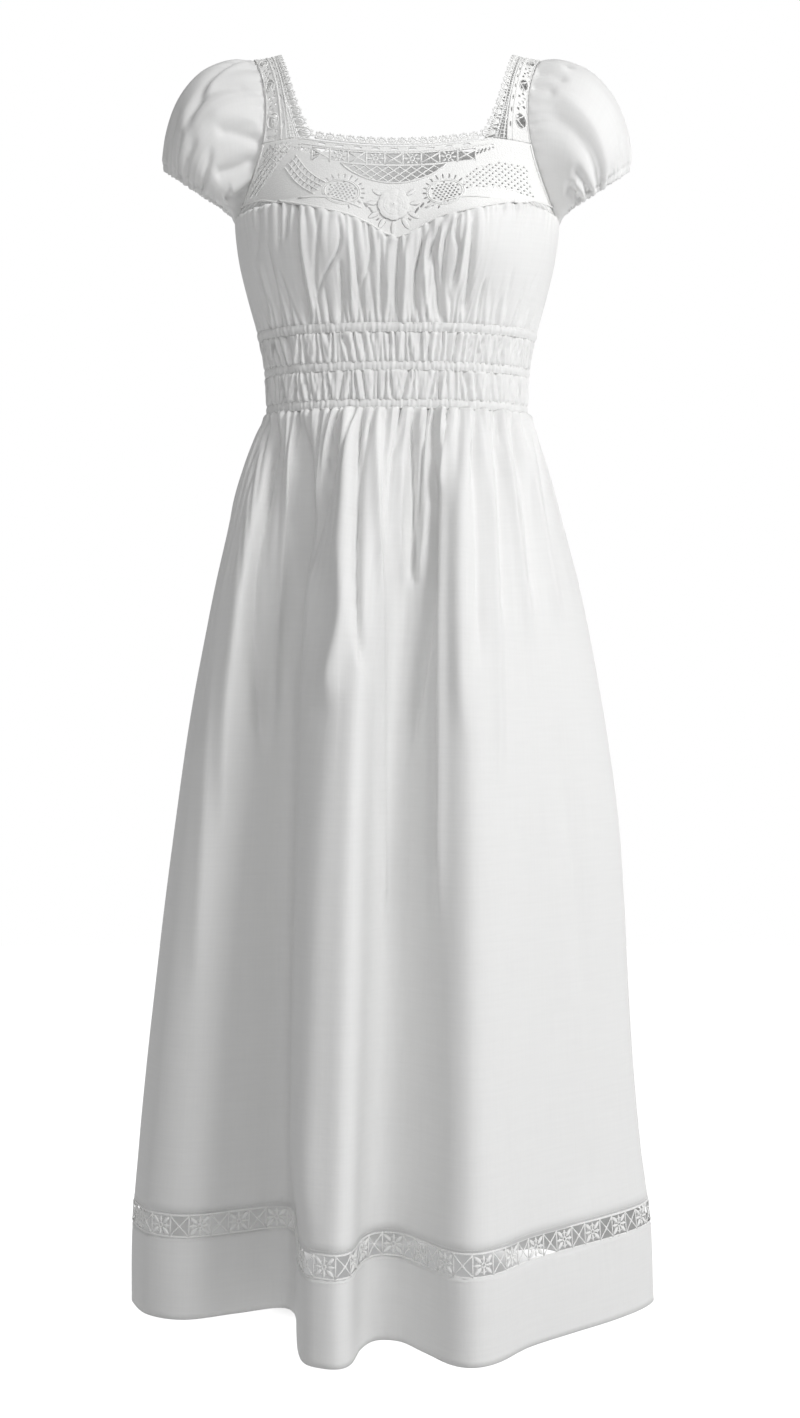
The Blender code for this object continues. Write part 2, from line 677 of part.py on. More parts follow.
def build_straps():
    count = 2 * round((STRAP_ARC - STRAP_WIDTH) / SCALLOP)
    margin = SEAM_GAP / STRAP_ARC
    start = STRAP_SHARE + EDGING_SEAM_GAP / STRAP_WIDTH
    for side, word in ((LEFT, "left"), (RIGHT, "right")):

        def lace_point(along, up, side=side):
            return strap_point(side, along, STRAP_SHARE * up)

        turned = side == LEFT
        ladder_lace(f"strap_{word}", lace_point, STRAP_REPEATS, STRAP_ARC, STRAP_LACE_WIDTH, turned)
        along = [margin + (1 - 2 * margin) * number / count for number in range(count + 1)]
        ends = [1 - SCALLOP_DEPTH / STRAP_WIDTH * (number % 2) for number in range(count + 1)]
        rows = [
            [strap_point(side, at, start) for at in along],
            [strap_point(side, at, end) for at, end in zip(along, ends)],
        ]
        add_panel(f"strap_edging_{word}", rows, LACE_WALL, "crochet", flip=turned)


def build_neck_edging():
    """Scalloped edging along the front neckline, between the rounded corners of the straps' edging."""
    count = 2 * round(2 * NECK_HALF_WIDTH / SCALLOP)
    half = NECK_HALF_WIDTH - NECK_ROUNDING - YOKE_SEAM_GAP
    low, high = [], []
    for number in range(count + 1):
        x = half * (2 * number / count - 1)
        height = neck_height(x) + EDGING_SEAM_GAP
        low.append((x, float(body_depth(FRONT, x, height)), height))
        height += SCALLOP_HEIGHT - SCALLOP_DEPTH * (number % 2)
        high.append((x, float(body_depth(FRONT, x, height)), height))
    add_panel("neck_edging", [low, high], LACE_WALL, "crochet")


def build_sleeves():
    turns = [2 * math.pi * number / SLEEVE_COLUMNS for number in range(SLEEVE_COLUMNS)]
    for side, word in ((LEFT, "left"), (RIGHT, "right")):
        rows = [[sleeve_point(side, section.along, turn) for turn in turns] for section in SLEEVE]
        add_panel(f"sleeve_{word}", rows, COTTON_WALL, "cotton", closed=True, flip=side == RIGHT)


for old in list(bpy.data.objects):
    bpy.data.objects.remove(old)
dress = bpy.data.collections.new("sundress")
cutters = bpy.data.collections.new("cutters")
bpy.context.scene.collection.children.link(dress)
bpy.context.scene.collection.children.link(cutters)

build_bodice()
build_waist()
build_skirt()
build_hem()
build_yoke()
build_rosette()
build_straps()
build_neck_edging()
build_sleeves()
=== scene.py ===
import math

import bpy
import numpy as np
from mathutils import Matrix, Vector
from mathutils.geometry import delaunay_2d_cdt


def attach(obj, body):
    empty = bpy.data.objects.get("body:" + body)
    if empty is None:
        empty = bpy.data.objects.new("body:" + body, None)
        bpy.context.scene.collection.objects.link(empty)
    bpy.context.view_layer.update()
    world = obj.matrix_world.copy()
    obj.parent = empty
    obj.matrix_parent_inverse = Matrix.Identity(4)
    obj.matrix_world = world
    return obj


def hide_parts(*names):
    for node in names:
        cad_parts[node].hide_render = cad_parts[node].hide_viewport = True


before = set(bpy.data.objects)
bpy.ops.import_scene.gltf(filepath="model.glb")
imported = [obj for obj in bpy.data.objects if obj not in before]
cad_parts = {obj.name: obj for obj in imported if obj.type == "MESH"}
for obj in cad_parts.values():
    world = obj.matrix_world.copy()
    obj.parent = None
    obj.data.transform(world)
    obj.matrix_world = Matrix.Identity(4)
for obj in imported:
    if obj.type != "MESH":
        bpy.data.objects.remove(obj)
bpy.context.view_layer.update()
print("solids loaded:", len(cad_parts))

front, back = -1, 1
left, right = -1, 1
faceWords = {front: "front", back: "back"}
sideWords = {left: "left", right: "right"}

# The worn form that the cloth follows, in metres, the same as in the solids
form = {
    # height, half width, depth in front of the side seam, depth behind it
    "sections": (
        (-0.100, 0.150, 0.102, 0.086), (-0.120, 0.153, 0.109, 0.090), (-0.140, 0.157, 0.116, 0.095),
        (-0.166, 0.1605, 0.122, 0.100), (-0.200, 0.158, 0.123, 0.102), (-0.236, 0.150, 0.115, 0.098),
        (-0.262, 0.1425, 0.104, 0.093), (-0.286, 0.1355, 0.097, 0.090), (-0.322, 0.1295, 0.093, 0.088),
        (-0.358, 0.128, 0.092, 0.088), (-0.380, 0.128, 0.092, 0.088),
    ),
    "power": 2.4,  # how square the sections are
    "underarm": -0.166,
    "bustOut": 0.009,
    "bustAt": 0.072,
    "bustHeight": -0.198,
    "bustSpread": 0.036,
    "neckHalf": 0.089,
    "neckCorner": {front: -0.104, back: -0.074},
    "neckCentre": {front: -0.116, back: -0.070},
    "casings": (-0.286, -0.322, -0.358),
    "casingHeight": 0.009,
    "sideRise": 0.006,  # waist seams climb this much towards the side seams
    "seamGap": 0.0008,
}

# Armhole: a leaning ellipse, bowed in at the front and back
armhole = {
    "x": 0.151, "height": -0.085, "half": 0.081, "lean": 0.093,
    "front": 0.072, "back": 0.066, "bow": 0.024,
}


def curveThrough(rows, column, at):
    # a smooth curve through one column of a table whose first column is the key
    table = np.array(sorted(rows), float)
    keys, values = table[:, 0], table[:, column]
    slopes = np.gradient(values, keys)
    at = np.clip(at, keys[0], keys[-1])
    i = np.clip(np.searchsorted(keys, at, side="right") - 1, 0, len(keys) - 2)
    gap = keys[i + 1] - keys[i]
    t = (at - keys[i]) / gap
    start = (2 * t**3 - 3 * t**2 + 1) * values[i] + (t**3 - 2 * t**2 + t) * gap * slopes[i]
    return start + (3 * t**2 - 2 * t**3) * values[i + 1] + (t**3 - t**2) * gap * slopes[i + 1]


def smoothStep(t):
    t = np.clip(t, 0, 1)
    return t * t * (3 - 2 * t)


def armholeAt(side, turn):
    # turn is -90 degrees at the underarm, 0 in front, 90 on the shoulder
    up, forward = np.sin(turn), np.cos(turn)
    reach = np.where(forward > 0, armhole["front"], armhole["back"])
    x = armhole["x"] - armhole["lean"] * armhole["half"] * up - armhole["bow"] * forward**2
    return np.stack([side * x, -reach * forward, armhole["height"] + armhole["half"] * up], -1)


def panelEdge(face, height):
    # where a panel ends: at the side seam, or above the underarm at the armhole
    turn = np.arcsin(np.clip((height - armhole["height"]) / armhole["half"], -1, 1))
    edge = armholeAt(right, math.pi - turn if face == back else turn)
    under = height <= form["underarm"]
    x = np.where(under, curveThrough(form["sections"], 1, height), edge[..., 0])
    return x, np.where(under, 0, edge[..., 1])


def bodyDepth(face, x, height):
    edgeX, edgeY = panelEdge(face, height)
    wide = curveThrough(form["sections"], 1, height)
    deep = curveThrough(form["sections"], 2 if face == front else 3, height)

    def plain(across):
        share = np.clip(np.abs(across) / wide, 0, 1)
        return face * deep * (1 - share ** form["power"]) ** (1 / form["power"])

    y = plain(x) + (edgeY - plain(edgeX)) * (np.abs(x) / edgeX) ** 3
    if face == front:
        spread = form["bustSpread"]
        near = ((np.abs(x) - form["bustAt"]) / spread) ** 2 + ((height - form["bustHeight"]) / spread) ** 2
        y = y - form["bustOut"] * np.exp(-near)
    return y


def evenly(x, y, shares):
    # points at shares of a line's length, and the outward direction there
    run = np.concatenate([[0], np.cumsum(np.hypot(np.diff(x), np.diff(y)))])
    at, step = np.asarray(shares) * run[-1], run[-1] * 0.004
    before, after = np.clip(at - step, 0, run[-1]), np.clip(at + step, 0, run[-1])
    alongX = np.interp(after, run, x) - np.interp(before, run, x)
    alongY = np.interp(after, run, y) - np.interp(before, run, y)
    size = np.hypot(alongX, alongY)
    return np.array([np.interp(at, run, x), np.interp(at, run, y), alongY / size, -alongX / size])


def bodyLine(face, height):
    edge = float(panelEdge(face, np.array(height))[0])
    x = -face * edge * np.sin(np.linspace(-math.pi / 2, math.pi / 2, 161))
    return x, bodyDepth(face, x, height)


bodyHeights = np.arange(-0.384, -0.066, 0.002)
bodyShares = np.linspace(0, 1, 321)
bodyTables = {
    face: np.array([evenly(*bodyLine(face, height), bodyShares) for height in bodyHeights])
    for face in (front, back)
}


def onBody(face, share, height, out=0.0):
    # a point of the bodice or waist, at a share of the way round from one side seam to the other
    share, height = np.broadcast_arrays(share, height)
    table = bodyTables[face]
    row = (height - bodyHeights[0]) / (bodyHeights[1] - bodyHeights[0])
    row = np.clip(row, 0, len(bodyHeights) - 1.001)
    column = np.clip(share, 0, 1) * (len(bodyShares) - 1.001)
    r, c = row.astype(int), column.astype(int)
    up, over = row - r, column - c

    def read(k):
        low = table[r, k, c] * (1 - over) + table[r, k, c + 1] * over
        high = table[r + 1, k, c] * (1 - over) + table[r + 1, k, c + 1] * over
        return low * (1 - up) + high * up

    return np.stack([read(0) + out * read(2), read(1) + out * read(3), height], -1)


def waistHeight(height, share):
    return height + form["sideRise"] * np.abs(2 * share - 1) ** 3


def neckHeight(x, face=front):
    centre, corner = form["neckCentre"][face], form["neckCorner"][face]
    return centre + (corner - centre) * np.minimum(1, np.abs(x) / form["neckHalf"]) ** 2


# Cloth as meshes

def gridNormals(points, closed=False):
    across = np.roll(points, -1, 1) - np.roll(points, 1, 1) if closed else np.gradient(points, axis=1)
    normal = np.cross(across, np.gradient(points, axis=0))
    return normal / np.maximum(np.linalg.norm(normal, axis=2, keepdims=True), 1e-12)


def clothGrid(name, points, across, along, wall, closed=False, flip=False):
    # across and along are the cut's own measures at the columns and rows, for the weave
    rows, columns = points.shape[:2]
    index = np.arange(rows * columns).reshape(rows, columns)
    if closed:
        index = np.concatenate([index, index[:, :1]], axis=1)
    faces = np.stack([index[:-1, :-1], index[:-1, 1:], index[1:, 1:], index[1:, :-1]], -1).reshape(-1, 4)
    i, j = np.meshgrid(np.arange(rows - 1), np.arange(index.shape[1] - 1), indexing="ij")
    u = np.stack([across[j], across[j + 1], across[j + 1], across[j]], -1)
    v = np.stack([along[i], along[i], along[i + 1], along[i + 1]], -1)
    uv = np.stack([u, v], -1).reshape(-1, 4, 2)
    if flip:
        faces, uv = faces[:, ::-1], uv[:, ::-1]
    mesh = bpy.data.meshes.new(name)
    mesh.from_pydata(points.reshape(-1, 3).tolist(), [], faces.tolist())
    mesh.uv_layers.new(name="cut").data.foreach_set("uv", uv.ravel())
    return clothPiece(name, mesh, wall)


def clothPiece(name, mesh, wall):
    mesh.shade_smooth()
    piece = bpy.data.objects.new(name, mesh)
    bpy.context.scene.collection.objects.link(piece)
    if wall:
        shell = piece.modifiers.new("wall", "SOLIDIFY")
        shell.thickness = wall
        shell.offset = -1
        shell.use_rim = True
    return piece


def sewOn(piece, material, slotName, *nodes):
    piece.data.materials.append(material)
    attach(piece, "root")
    if nodes:
        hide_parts(*nodes)
    return piece


# Folds, as distances that the cloth stands out of its form

def gatherOut(share, away, look):
    # uneven gathers: round ridges with narrow troughs, each fading at its own distance from the seam
    rng = np.random.default_rng(look["seed"])
    count = look["count"]
    widths = rng.uniform(1 - look["uneven"], 1 + look["uneven"], count)
    edges = np.concatenate([[0], np.cumsum(widths)]) / widths.sum()
    deep = rng.uniform(0.35, 1.0, count + 1)
    reach = rng.uniform(0.45, 1.7, count + 1)
    sway = rng.uniform(-1, 1, count + 1) * look.get("lean", 0)
    at = np.clip(share + np.interp(share, edges, sway) * away, 0, 0.99999)
    i = np.clip(np.searchsorted(edges, at, side="right") - 1, 0, count - 1)
    t = (at - edges[i]) / (edges[i + 1] - edges[i])
    ridge = np.sin(math.pi * np.clip(t, 0, 1)) ** look.get("round", 0.8)
    trough = deep[i] * (1 - t) + deep[i + 1] * t
    length = look["fade"] * (reach[i] * (1 - t) + reach[i + 1] * t)
    calm = np.minimum(1, 14 * np.minimum(share, 1 - share)) if look.get("calmEnds", True) else 1
    stand = ridge * widths[i] ** 0.5 * (0.5 + 0.5 * trough) - (1 - ridge) * trough
    return look["depth"] * calm * stand * np.exp(-np.clip(away, 0, None) / length)


def raised(points, out):
    return points + gridNormals(points) * out[..., None]


def tuckedIn(out, fromSeam, reach=0.004, calm=0.5, sink=0.0008):
    # close to a seam the folds calm down, and the cloth sinks behind its neighbour
    near = np.clip(1 - fromSeam / reach, 0, 1)
    return out * (1 - calm * near) - sink * near


def calmSides(share, reach=0.02):
    return smoothStep(np.minimum(share, 1 - share) / reach)


def creaseOut(x, z, creases, slim=1.0):
    # creases given one by one, in millimetres: how far out, half width, soft ends, points in X and Z
    out = np.zeros(np.shape(x))
    for stand, width, softEnd, line, *step in creases:
        rows = sorted((high, across) for across, high in line)
        middle = curveThrough(rows, 1, z)
        low, high = rows[0][0], rows[-1][0]
        window = smoothStep((z - low) / softEnd) * smoothStep((high - z) / softEnd)
        near = (x - middle) / (width * slim)
        profile = 2.33 * near * np.exp(-(near**2)) if step else np.exp(-(np.abs(near) ** 1.6))
        out += stand * window * profile
    return out / 1000


def crumple(x, z, size, depth, seed):
    # very soft unevenness, from a few crossing waves
    rng = np.random.default_rng(seed)
    out = np.zeros(np.shape(x))
    for _ in range(9):
        turn, phase = rng.uniform(0, math.pi), rng.uniform(0, 2 * math.pi)
        scale = size * rng.uniform(0.6, 1.6)
        out += np.sin((x * math.cos(turn) + 0.45 * z * math.sin(turn)) * 2 * math.pi / scale + phase)
    return out * depth / 3


# Materials

def newMaterial(name):
    material = bpy.data.materials.new(name)
    material.use_nodes = True
    nodes, links = material.node_tree.nodes, material.node_tree.links

    def add(kind, inputs=None, **settings):
        node = nodes.new(kind)
        for name, value in settings.items():
            setattr(node, name, value)
        for name, value in (inputs or {}).items():
            if isinstance(value, bpy.types.NodeSocket):
                links.new(value, node.inputs[name])
            else:
                node.inputs[name].default_value = value
        return node

    return material, add, nodes["Principled BSDF"], links


def turnRange(add, value, start, end, low=0.0, high=1.0, **settings):
    # what runs from start to end then runs from low to high
    inputs = {"Value": value, "From Min": start, "From Max": end, "To Min": low, "To Max": high}
    return add("ShaderNodeMapRange", inputs, **settings).outputs["Result"]


def calculate(add, operation, first, second):
    return add("ShaderNodeMath", {0: first, 1: second}, operation=operation).outputs[0]


def wave(add, place, scale, distortion, detail, detailScale, direction):
    inputs = {"Vector": place, "Scale": scale, "Distortion": distortion, "Detail": detail}
    inputs["Detail Scale"] = detailScale
    return add("ShaderNodeTexWave", inputs, bands_direction=direction).outputs["Fac"]


def noise(add, place, scale, detail, roughness=0.5):
    inputs = {"Vector": place, "Scale": scale, "Detail": detail, "Roughness": roughness}
    return add("ShaderNodeTexNoise", inputs).outputs["Fac"]


def bump(add, height, strength, distance, below=None, **settings):
    inputs = {"Height": height, "Strength": strength, "Distance": distance}
    if below is not None:
        inputs["Normal"] = below
    return add("ShaderNodeBump", inputs, **settings).outputs["Normal"]


def finishCloth(add, shader, links, look, tone, rough, normal):
    # the colour in two tones (random slubs on cotton, painted shade between the loops on crochet), the
    # roughness and the relief, all on one shader
    mixed = add("ShaderNodeMix", {"Factor": tone}, data_type="RGBA")
    mixed.inputs["A"].default_value = (*[look["dim"] * part for part in look["colour"]], 1)
    mixed.inputs["B"].default_value = (*look["colour"], 1)
    links.new(mixed.outputs["Result"], shader.inputs["Base Color"])
    links.new(rough, shader.inputs["Roughness"])
    links.new(normal, shader.inputs["Normal"])
    shader.inputs["Sheen Weight"].default_value = look["sheen"]
    shader.inputs["Specular IOR Level"].default_value = 0.25


cottonLook = {
    "colour": (0.86, 0.86, 0.855),
    "dim": 0.972,  # the slubs' tone against the colour
    "yarn": 0.00046,
    "weave": 0.22,
    "slubDepth": 0.00010,
    "rumple": 0.0010,
    "roughness": 0.80,
    "sheen": 0.18,
}


def cottonMaterial(name, look):
    material, add, shader, links = newMaterial(name)
    cut = add("ShaderNodeUVMap", uv_map="cut").outputs["UV"]
    place = add("ShaderNodeTexCoord").outputs["Object"]
    bands = 0.314 / look["yarn"]
    warp, weft = (wave(add, cut, bands, 1.2, 1.0, 1.5, direction) for direction in ("X", "Y"))
    weave = calculate(add, "MAXIMUM", warp, weft)
    longYarn = add("ShaderNodeMapping", {"Vector": cut, "Scale": (420, 14, 1)}).outputs["Vector"]
    crossYarn = add("ShaderNodeMapping", {"Vector": cut, "Scale": (16, 380, 1)}).outputs["Vector"]
    slubs = calculate(add, "ADD", noise(add, longYarn, 1.0, 3.0, 0.6), noise(add, crossYarn, 1.0, 2.0))
    rumple = noise(add, place, 34.0, 4.0, 0.55)
    tone = turnRange(add, slubs, 0.7, 1.3)
    rough = turnRange(add, weave, 0.0, 1.0, look["roughness"] - 0.06, look["roughness"] + 0.06)
    soft = bump(add, rumple, 0.5, look["rumple"])
    lined = bump(add, slubs, 0.6, look["slubDepth"], soft)
    woven = bump(add, weave, look["weave"], 0.00012, lined)
    finishCloth(add, shader, links, look, tone, rough, woven)
    shader.inputs["Sheen Roughness"].default_value = 0.5
    return material


crochetLook = {
    "colour": (0.94, 0.94, 0.93),
    # dim: how dark the painted shade in the hollows between the loops is
    "dim": 0.955,
    "stitch": 560.0,  # stitches a metre
    "depth": 0.0005,
    "roughness": 0.86,
    "sheen": 0.15,
}


def crochetMaterial(name, look):
    material, add, shader, links = newMaterial(name)
    place = add("ShaderNodeTexCoord").outputs["Object"]
    inputs = {"Vector": place, "Scale": look["stitch"], "Randomness": 0.75}
    loops = add("ShaderNodeTexVoronoi", inputs, feature="F1").outputs["Distance"]
    ply = wave(add, place, 520.0, 5.0, 2.0, 2.0, "DIAGONAL")
    fuzz = noise(add, place, 2400.0, 2.0)
    # the colour darkens towards the edge of each loop, where the relief sinks: painted shade between the
    # loops
    tone = turnRange(add, loops, 0.1, 0.75, 1.0, 0.0)
    rough = turnRange(add, ply, 0.0, 1.0, look["roughness"] - 0.08, look["roughness"] + 0.04)
    stitched = bump(add, loops, 0.4, look["depth"], invert=True)
    plied = bump(add, ply, 0.35, 0.00015, stitched)
    fuzzy = bump(add, fuzz, 0.3, 0.00008, plied)
    finishCloth(add, shader, links, look, tone, rough, fuzzy)
    return material


cotton = cottonMaterial("cotton", cottonLook)
crochet = crochetMaterial("crochet", crochetLook)
# the sewing thread has the same painted shade between its finer loops, a little deeper
threadLook = {**crochetLook, "stitch": 2600.0, "depth": 0.0001, "dim": 0.94}
sewingThread = crochetMaterial("sewing_thread", threadLook)
print("cloth materials ready")

# Waist: three narrow casings with elastic, and two finely gathered channels between them
waist = {
    "channelRows": 17,
    "under": 0.0022,  # how far the channels, the bodice and the skirt go on behind a casing
    "channelColumns": 340,
    "wall": 0.0008,
    "gather": {"count": 60, "depth": 0.0032, "fade": 9.0, "uneven": 0.6, "lean": 0.9, "round": 0.6},
    "small": {"count": 112, "depth": 0.0010, "fade": 9.0, "uneven": 0.6, "lean": 0.9},
    "casingRows": 9,
    "casingColumns": 260,
    "channelCut": (0.60, 0.027),
    "casingCut": (0.40, 0.010),
    "casingWall": 0.0016,
    "proud": 0.0008,
    "dome": 0.0009,
    "groove": 0.0005,
    "pucker": {"count": 104, "depth": 0.0013, "fade": 9.0, "uneven": 0.6, "lean": 0.4},
}


# Skirt: front and back panels from the waist to the lace
skirt = {
    "hem": -1.236,
    "laceLow": -1.158,
    "laceHigh": -1.135,
    "seam": 0.0003,
    "under": 0.0012,  # how far the cloth goes on behind the lace
    "columns": 236,
    "rows": 118,
    "wall": 0.0008,
    "cut": {front: 0.88, back: 0.86},
    "length": 0.775,
    # the hem seen from above: crests and troughs from the left side seam round the front, then round the back
    "folds": {
        front: (
            (-0.263, 0.000), (-0.262, -0.018), (-0.242, -0.060), (-0.204, -0.077), (-0.156, -0.057),
            (-0.118, -0.038), (-0.101, -0.052), (-0.0950, -0.110), (-0.0905, -0.170), (-0.083, -0.205),
            (-0.068, -0.219),
            (-0.052, -0.222), (-0.041, -0.208), (-0.033, -0.165), (-0.019, -0.140), (0.004, -0.144),
            (0.025, -0.176), (0.047, -0.209), (0.069, -0.218), (0.093, -0.202),
            (0.124, -0.159), (0.165, -0.119), (0.208, -0.079), (0.238, -0.046), (0.254, -0.018),
            (0.255, 0.000),
        ),
        back: (
            (0.255, 0.000), (0.254, 0.018), (0.240, 0.052), (0.206, 0.086), (0.196, 0.132), (0.158, 0.176),
            (0.118, 0.168), (0.092, 0.196), (0.058, 0.222), (0.022, 0.196), (-0.010, 0.186), (-0.040, 0.212),
            (-0.078, 0.216), (-0.104, 0.174), (-0.136, 0.158), (-0.172, 0.170), (-0.200, 0.136),
            (-0.212, 0.092),
            (-0.248, 0.056), (-0.262, 0.018), (-0.263, 0.000),
        ),
    },
    # height, then how far the skirt has opened towards the hem on its left and right
    "flare": (
        (-0.350, 0.000, 0.000), (-0.362, 0.010, 0.010), (-0.380, 0.080, 0.078), (-0.400, 0.150, 0.145),
        (-0.440, 0.250, 0.245), (-0.480, 0.320, 0.330), (-0.520, 0.388, 0.413), (-0.600, 0.500, 0.540),
        (-0.680, 0.597, 0.643), (-0.760, 0.679, 0.722), (-0.840, 0.754, 0.765), (-0.920, 0.821, 0.800),
        (-1.000, 0.888, 0.841), (-1.080, 0.948, 0.897), (-1.160, 0.993, 0.972), (-1.236, 1.000, 1.000),
    ),
    "drape": {front: 0.0015, back: 0.0060},
    "creaseDepth": 1.9,
    "drapeCount": 8,
    "drapeHeight": -0.470,
    "drapeSpread": 0.110,
    "fine": {
        "count": 64, "depth": 0.0024, "fade": 0.024, "uneven": 0.55, "seed": 11, "lean": 0.3, "round": 0.6,
    },
    "broad": {
        "count": 32, "depth": 0.0056, "fade": 0.070, "uneven": 0.6, "seed": 23, "lean": 0.35, "round": 0.7,
    },
    # creases: millimetres out, half width, soft ends, points in X and Z
    "creases": {
        front: (
            (-7.0, 6.0, 60, ((-94, -350), (-87, -421), (-85, -468), (-90, -525), (-91, -640))),
            (4.5, 5.5, 70, ((-101, -350), (-106, -443), (-112, -512), (-118, -582), (-122, -700))),
            (-8.0, 7.5, 50,
                ((-116, -350), (-125, -443), (-134, -489), (-139, -559), (-136, -605), (-129, -700))),
            (5.0, 9.0, 110, ((-125, -390), (-141, -489), (-153, -559), (-162, -629), (-170, -800))),
            (3.0, 4.5, 35, ((-57, -350), (-71, -423), (-75, -470))),
            (-4.0, 3.6, 45, ((-50, -360), (-64, -435), (-72, -480), (-75, -530))),
            (4.5, 7.0, 40, ((-45, -340), (-47, -449), (-50, -495), (-50, -563), (-59, -618), (-63, -655))),
            (-4.5, 4.2, 40, ((-35, -350), (-38, -472), (-38, -540), (-33, -585), (-23, -625))),
            (3.6, 3.0, 120, ((-20, -340), (-20, -448), (-18, -517), (-16, -607), (-15, -697), (-14, -900))),
            (-3.0, 3.0, 20, ((6, -375), (-8, -425))),
            (3.2, 5.0, 35, ((4, -400), (0, -493), (8, -545))),
            (-5.5, 2.8, 40, ((16, -360), (16, -493), (16, -540))),
            (3.2, 3.6, 40, ((26, -360), (28, -470), (21, -545))),
            (-6.0, 5.5, 90, ((35, -350), (34, -447), (33, -516), (25, -584), (18, -629), (9, -720))),
            (3.6, 2.6, 25, ((42, -340), (43, -423), (41, -452))),
            (2.8, 5.5, 120, ((39, -400), (38, -547), (37, -696), (36, -880)), "step"),
            (7.0, 10.0, 150, ((-70, -420), (-76, -600), (-80, -833), (-84, -1000), (-86, -1190))),
            (2.6, 8.0, 70, ((59, -400), (58, -566), (61, -690))),
            (-3.0, 5.0, 60, ((73, -360), (76, -490), (78, -620))),
            (2.4, 5.0, 80, ((87, -380), (93, -562), (96, -740))),
            (-2.8, 4.5, 45, ((94, -350), (100, -493), (102, -580))),
            (2.6, 5.0, 45, ((100, -380), (117, -507), (130, -600))),
            (-3.0, 5.0, 45, ((106, -350), (123, -448), (134, -560))),
            (2.4, 5.0, 40, ((118, -370), (142, -480), (158, -580))),
            (-2.2, 6.0, 50, ((-165, -430), (-186, -560), (-196, -700))),
            (2.2, 9.0, 120, ((-180, -600), (-186, -760), (-196, -960))),
            (-1.6, 12.0, 120, ((150, -640), (170, -800), (186, -980))),
            (-2.0, 10.0, 60, ((190, -1050), (176, -1120), (160, -1150))),
        ),
        # the back is not shown: creases of its own, after the front's manner
        back: (
            (-6.0, 5.5, 60, ((92, -350), (98, -450), (104, -620))),
            (4.5, 6.0, 80, ((76, -350), (80, -460), (84, -700))),
            (-6.0, 5.0, 60, ((58, -350), (60, -470), (56, -640))),
            (4.0, 6.0, 90, ((38, -350), (42, -520), (52, -760))),
            (-5.0, 4.0, 50, ((18, -350), (16, -440), (20, -580))),
            (3.6, 5.0, 60, ((4, -350), (0, -470), (4, -620))),
            (-5.5, 4.5, 70, ((-14, -350), (-16, -480), (-10, -700))),
            (4.0, 6.0, 60, ((-34, -350), (-38, -460), (-46, -640))),
            (-5.0, 5.0, 50, ((-54, -350), (-58, -430), (-64, -560))),
            (4.4, 7.0, 90, ((-74, -350), (-80, -480), (-90, -760))),
            (-6.0, 6.0, 60, ((-94, -350), (-104, -460), (-116, -640))),
            (3.0, 6.0, 60, ((-110, -380), (-128, -500), (-146, -660))),
            (3.0, 6.0, 60, ((112, -380), (130, -500), (150, -700))),
        ),
    },
}


def foldLine(face, samples=40):
    # the hem's outline, a smooth curve through the crests and troughs
    points = np.array(skirt["folds"][face])
    held = np.concatenate([points[1:2] * (1, -1), points, points[-2:-1] * (1, -1)])
    made = []
    for a, b, c, d in zip(held[:-3], held[1:-2], held[2:-1], held[3:]):
        t = np.linspace(0, 1, samples, endpoint=False)[:, None]
        bend = (2 * a - 5 * b + 4 * c - d) * t**2 + (3 * b - a - 3 * c + d) * t**3
        made.append(b + ((c - a) * t + bend) / 2)
    made.append(points[-1:])
    return np.concatenate(made).T


skirtShares = np.linspace(0, 1, 1201)
skirtLines = {
    face: (evenly(*bodyLine(face, form["casings"][-1]), skirtShares), evenly(*foldLine(face), skirtShares))
    for face in (front, back)
}
hemArc = {face: float(np.hypot(*np.diff(foldLine(face))).sum()) for face in (front, back)}
skirtTop = form["casings"][-1] - form["casingHeight"] / 2 - form["seamGap"]


def onSkirt(face, share, height, out=0.0):
    # the waist's section, opened towards the folds of the hem
    share, height = np.broadcast_arrays(share, height)
    top, low = skirtLines[face]
    topX, topY, outX, outY = (np.interp(share, skirtShares, part) for part in top)
    lowX, lowY = (np.interp(share, skirtShares, part) for part in low[:2])
    toRight = share if face == front else 1 - share
    opened = (1 - toRight) * curveThrough(skirt["flare"], 1, height)
    opened = opened + toRight * curveThrough(skirt["flare"], 2, height)
    drape = np.exp(-(((height - skirt["drapeHeight"]) / skirt["drapeSpread"]) ** 2)) * skirt["drape"][face]
    drape = drape * np.sin(2 * math.pi * skirt["drapeCount"] * share)
    drape = drape * np.sin(math.pi * np.clip(share, 0, 1)) ** 0.5
    out = out + drape
    x = topX + (lowX - topX) * opened + outX * out
    return np.stack([x, topY + (lowY - topY) * opened + outY * out, height], -1)


def skirtFolds(face, share, height, points):
    # everything finer than the skirt's form: gathers under the waist, creases and soft unevenness
    away = np.clip(skirtTop - height, 0, None)
    out = gatherOut(share, away, skirt["fine"]) + gatherOut(share, away, skirt["broad"])
    x, z = points[..., 0] * 1000, points[..., 2] * 1000
    out = out + skirt["creaseDepth"] * creaseOut(x, z, skirt["creases"][face])
    out = out + crumple(share * hemArc[face], height, 0.16, 0.0009, 5 + face) * smoothStep(away / 0.2)
    ends = smoothStep((height - skirt["laceHigh"]) / 0.05)  # the sewn edges hold the cloth to its form
    return out * (0.25 + 0.75 * ends) * calmSides(share)


def skirtColumns(face):
    margin = skirt["seam"] / 2 / hemArc[face]
    return np.linspace(margin, 1 - margin, skirt["columns"])


def buildSkirt(face):
    word = faceWords[face]
    low = skirt["laceHigh"] - skirt["under"]
    top = skirtTop + waist["under"]
    run = np.linspace(1, 0, skirt["rows"])
    levels = top - (top - low) * (0.35 * run + 0.65 * run**2)
    shares = skirtColumns(face)
    share, level = np.meshgrid(shares, levels)
    height = level + (waistHeight(top, share) - top) * np.clip(1 - (top - level) / 0.022, 0, 1)
    points = onSkirt(face, share, height)
    out = tuckedIn(skirtFolds(face, share, height, points), waistHeight(top, share) - height)
    points = raised(points, out)
    piece = clothGrid("skirt_panel_" + word, points, shares * hemArc[face], levels, skirt["wall"])
    sewOn(piece, cotton, "cotton", "skirt_" + word)


